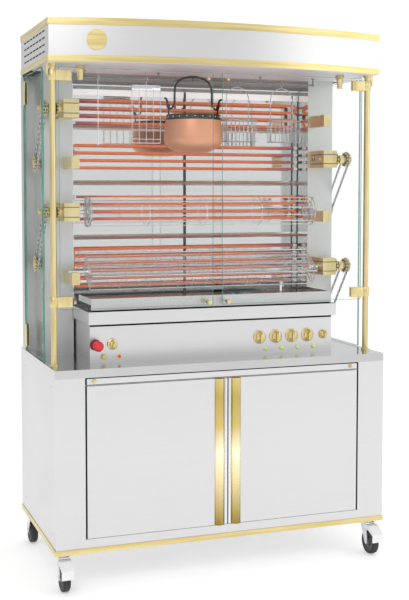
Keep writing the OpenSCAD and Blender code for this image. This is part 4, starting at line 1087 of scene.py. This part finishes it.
def cabinet_details():
    screws = Shape()
    for side, s in SIDES:
        for y, z in ((263, 773), (-264, 771), (260, 213), (-265, 210)):
            screws.revolve([(0, 2.4), (2.4, 2.4), (4.4, 1.5), (5, 0.05)], (s * HW, y, z), "X", 24, s)
    screws.put("side_screws", "zinc", "frame", "zinc")

    gaps = Shape()
    gaps.box((-517.5, PANEL_Y - 1.2, 984), (517.5, PANEL_Y + 6, 993.4), 0.4)
    gaps.box((-511.5, -191, 1030), (511.5, -189, 1046.9), 0.4)
    for s in (-1, 1):
        gaps.side_box(s, (684.3, -214, 2022), (685.3, 226, 2122))
    gaps.put("shadow_gaps", "dark", "frame", "dark_iron")

    sill = Shape()
    sill.box((-SILL_X - 0.2, SILL_Y - 0.7, SILL_Z0 + 0.3), (SILL_X + 0.2, SILL_Y - 0.2, SILL_Z1 - 0.3), 0.15,
             1)
    # Painted shade: dark plates at both ends of the sill
    sill.slot = 1
    for s in (-1, 1):
        sill.side_box(s, (SILL_X + 0.3, SILL_Y + 5, SILL_Z0 + 3),
                      (SILL_X + 0.9, HOOD_FRONT_Y - 4, SILL_Z0 + 21))
    sill.put("sill_face", ["steel_tray", "dark"], "frame", "stainless")

    for side, s in SIDES:
        # Painted highlight: a brighter steel skin along each door's inner edge
        edge = Shape()
        edge.side_box(s, (2.3, -HD - 1.4, DOOR_Z0 + 0.8), (13.2, -HD - 0.1, DOOR_Z1 - 0.8), 0.5)
        edge.put(f"door_edge_highlight_{side}", "steel_edge", f"base_door_{side}", "stainless")
        # Painted shade: a dark sheet in the gap at each door's outer edge
        edge_gap = Shape()
        edge_gap.side_box(s, (565.6, -HD + 0.5, DOOR_Z0 + 1), (568.2, -HD + 8, DOOR_Z1 - 1), 0.4)
        edge_gap.put(f"door_gap_shade_{side}", "dark", f"base_door_{side}", "dark_iron")
    board = Shape()
    for s in (-1, 1):
        board.revolve([(0, 12.6), (4.6, 12.6), (6.7, 11.6), (7.1, 9.8), (7.1, 4.6), (6.7, 3.2), (8.6, 2.6),
                       (9.2, 1.6), (9.2, 0.05)],
                      (s * 537, -HD, 796), "-Y", 36)
    board.put("board_knobs", "brass", "pull_board", "brass")
    # Painted highlight: a glowing steel strip along the top of the back wall
    strip = Shape()
    strip.box((-521, RECESS_Y - 4.4, 1908), (521, RECESS_Y - 2.2, 1934), 0.6)
    strip.put("hood_highlight_strip", "bright_strip", "frame", "polished_steel")
    # Painted highlight: a glowing rod for the bright line across the hood's slope
    highlight_line = Shape()
    slope = (HOOD_BACK_Z - CEILING_Z) / (HOOD_BACK_Y - HOOD_FRONT_Y)
    y = HOOD_FRONT_Y + HOOD_HIGHLIGHT_AT * (HOOD_BACK_Y - HOOD_FRONT_Y)
    z = CEILING_Z + slope * (y - HOOD_FRONT_Y) - 4
    highlight_line.rod((-519, y, z), (519, y, z), 1.8, 10)
    highlight_line.put("hood_highlight_line", "bright_strip", "frame", "hood_grey")
    # Painted shade: a dark sheet in the gap between the two doors
    middle_gap = Shape()
    middle_gap.box((-3.2, -HD + 9, DOOR_Z0 + 4), (1.6, -HD + 10.5, DOOR_Z1 - 4))
    middle_gap.put("door_middle_shade", "dark", "base_door_left", "dark_iron")


def pendant_lamps():
    lamps = Shape()
    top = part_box("pendant_lamps")[1].z / MM
    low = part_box("pendant_lamps")[0].z / MM
    for s in (-1, 1):
        lamps.revolve([(0, top), (18.4, top), (19, top - 1), (19, top - 13.5), (17, top - 15.6),
                       (14.4, top - 16.4),
                       (13.8, top - 18), (10.4, low + 6), (10.2, low + 3), (9, low), (7.6, low),
                       (7, low + 1), (7, low + 9.8),
                       (0, low + 9.8)], (s * LAMP_X, LAMP_Y, 0), "Z", 48)
    lamps.put("lamp_cups", "brass", "frame", "brass", ["pendant_lamps"])
    bulbs = Shape()
    for s in (-1, 1):
        bulbs.revolve([(0, 1), (3.6, 1.6), (6, 3.4), (6.8, 6), (6.8, 9)], (s * LAMP_X, LAMP_Y, low), "Z", 28)
    bulbs.put("lamp_bulbs", "bulb", "frame", "glass")


# ---- assembly

def dress_cad_nodes():
    """Finishes of the CAD nodes that stay visible."""
    finish = {
        "steel": ["base_carcass", "control_box", "cornice_shell", "base_door_left", "base_door_right",
                  "pull_board",
                  "drip_tray"],
        "steel_top": ["counter_top"], "steel_tray": ["rear_casing"], "mirror": ["cavity_liner"],
        "hood_steel_painted_shade": ["ceiling_panel"], "rail": ["utensil_rail"], "hub": ["gearmotors"],
        "brass": ["hinge_posts", "spit_arms"], "brass_trim": ["brass_trim"],
        "brass_painted_reflections": ["base_handle_left", "base_handle_right"],
        "pedal": ["brake_pedal_left", "brake_pedal_right"],
        "zinc": [f"caster_fork_{name}" for name in ("fl", "fr", "rl", "rr")],
    }
    for mat, nodes in finish.items():
        for node in nodes:
            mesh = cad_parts[node].data
            mesh.materials.clear()
            mesh.materials.append(M[mat])


make_camera()
make_world()
M = make_materials()
make_floor()
area_light("key", (-2.6, -4.4, 4.4), (0, 0, 1.1), (2.6, 2.6), 70)
area_light("fill", (4.2, -3.6, 2.6), (0, 0, 1.0), (3.0, 3.0), 25)

dress_cad_nodes()
glass_doors()
side_glasses()
element_details()
chain_links()
drive_wheels()
arm_details()
caster_details()
for i, x in enumerate(KNOB_X):
    bar_knob(f"heat_knob_{i + 1}", x, 28, f"heat_knob_{i + 1}")
bar_knob("light_knob", LIGHT_X, 19, "light_knob")
key_selector()
push_buttons()
pilots()
round_basket()
flat_basket()
cauldron()
wire_utensils()
cabinet_details()
pendant_lamps()

bpy.context.scene.view_settings.view_transform = "Standard"
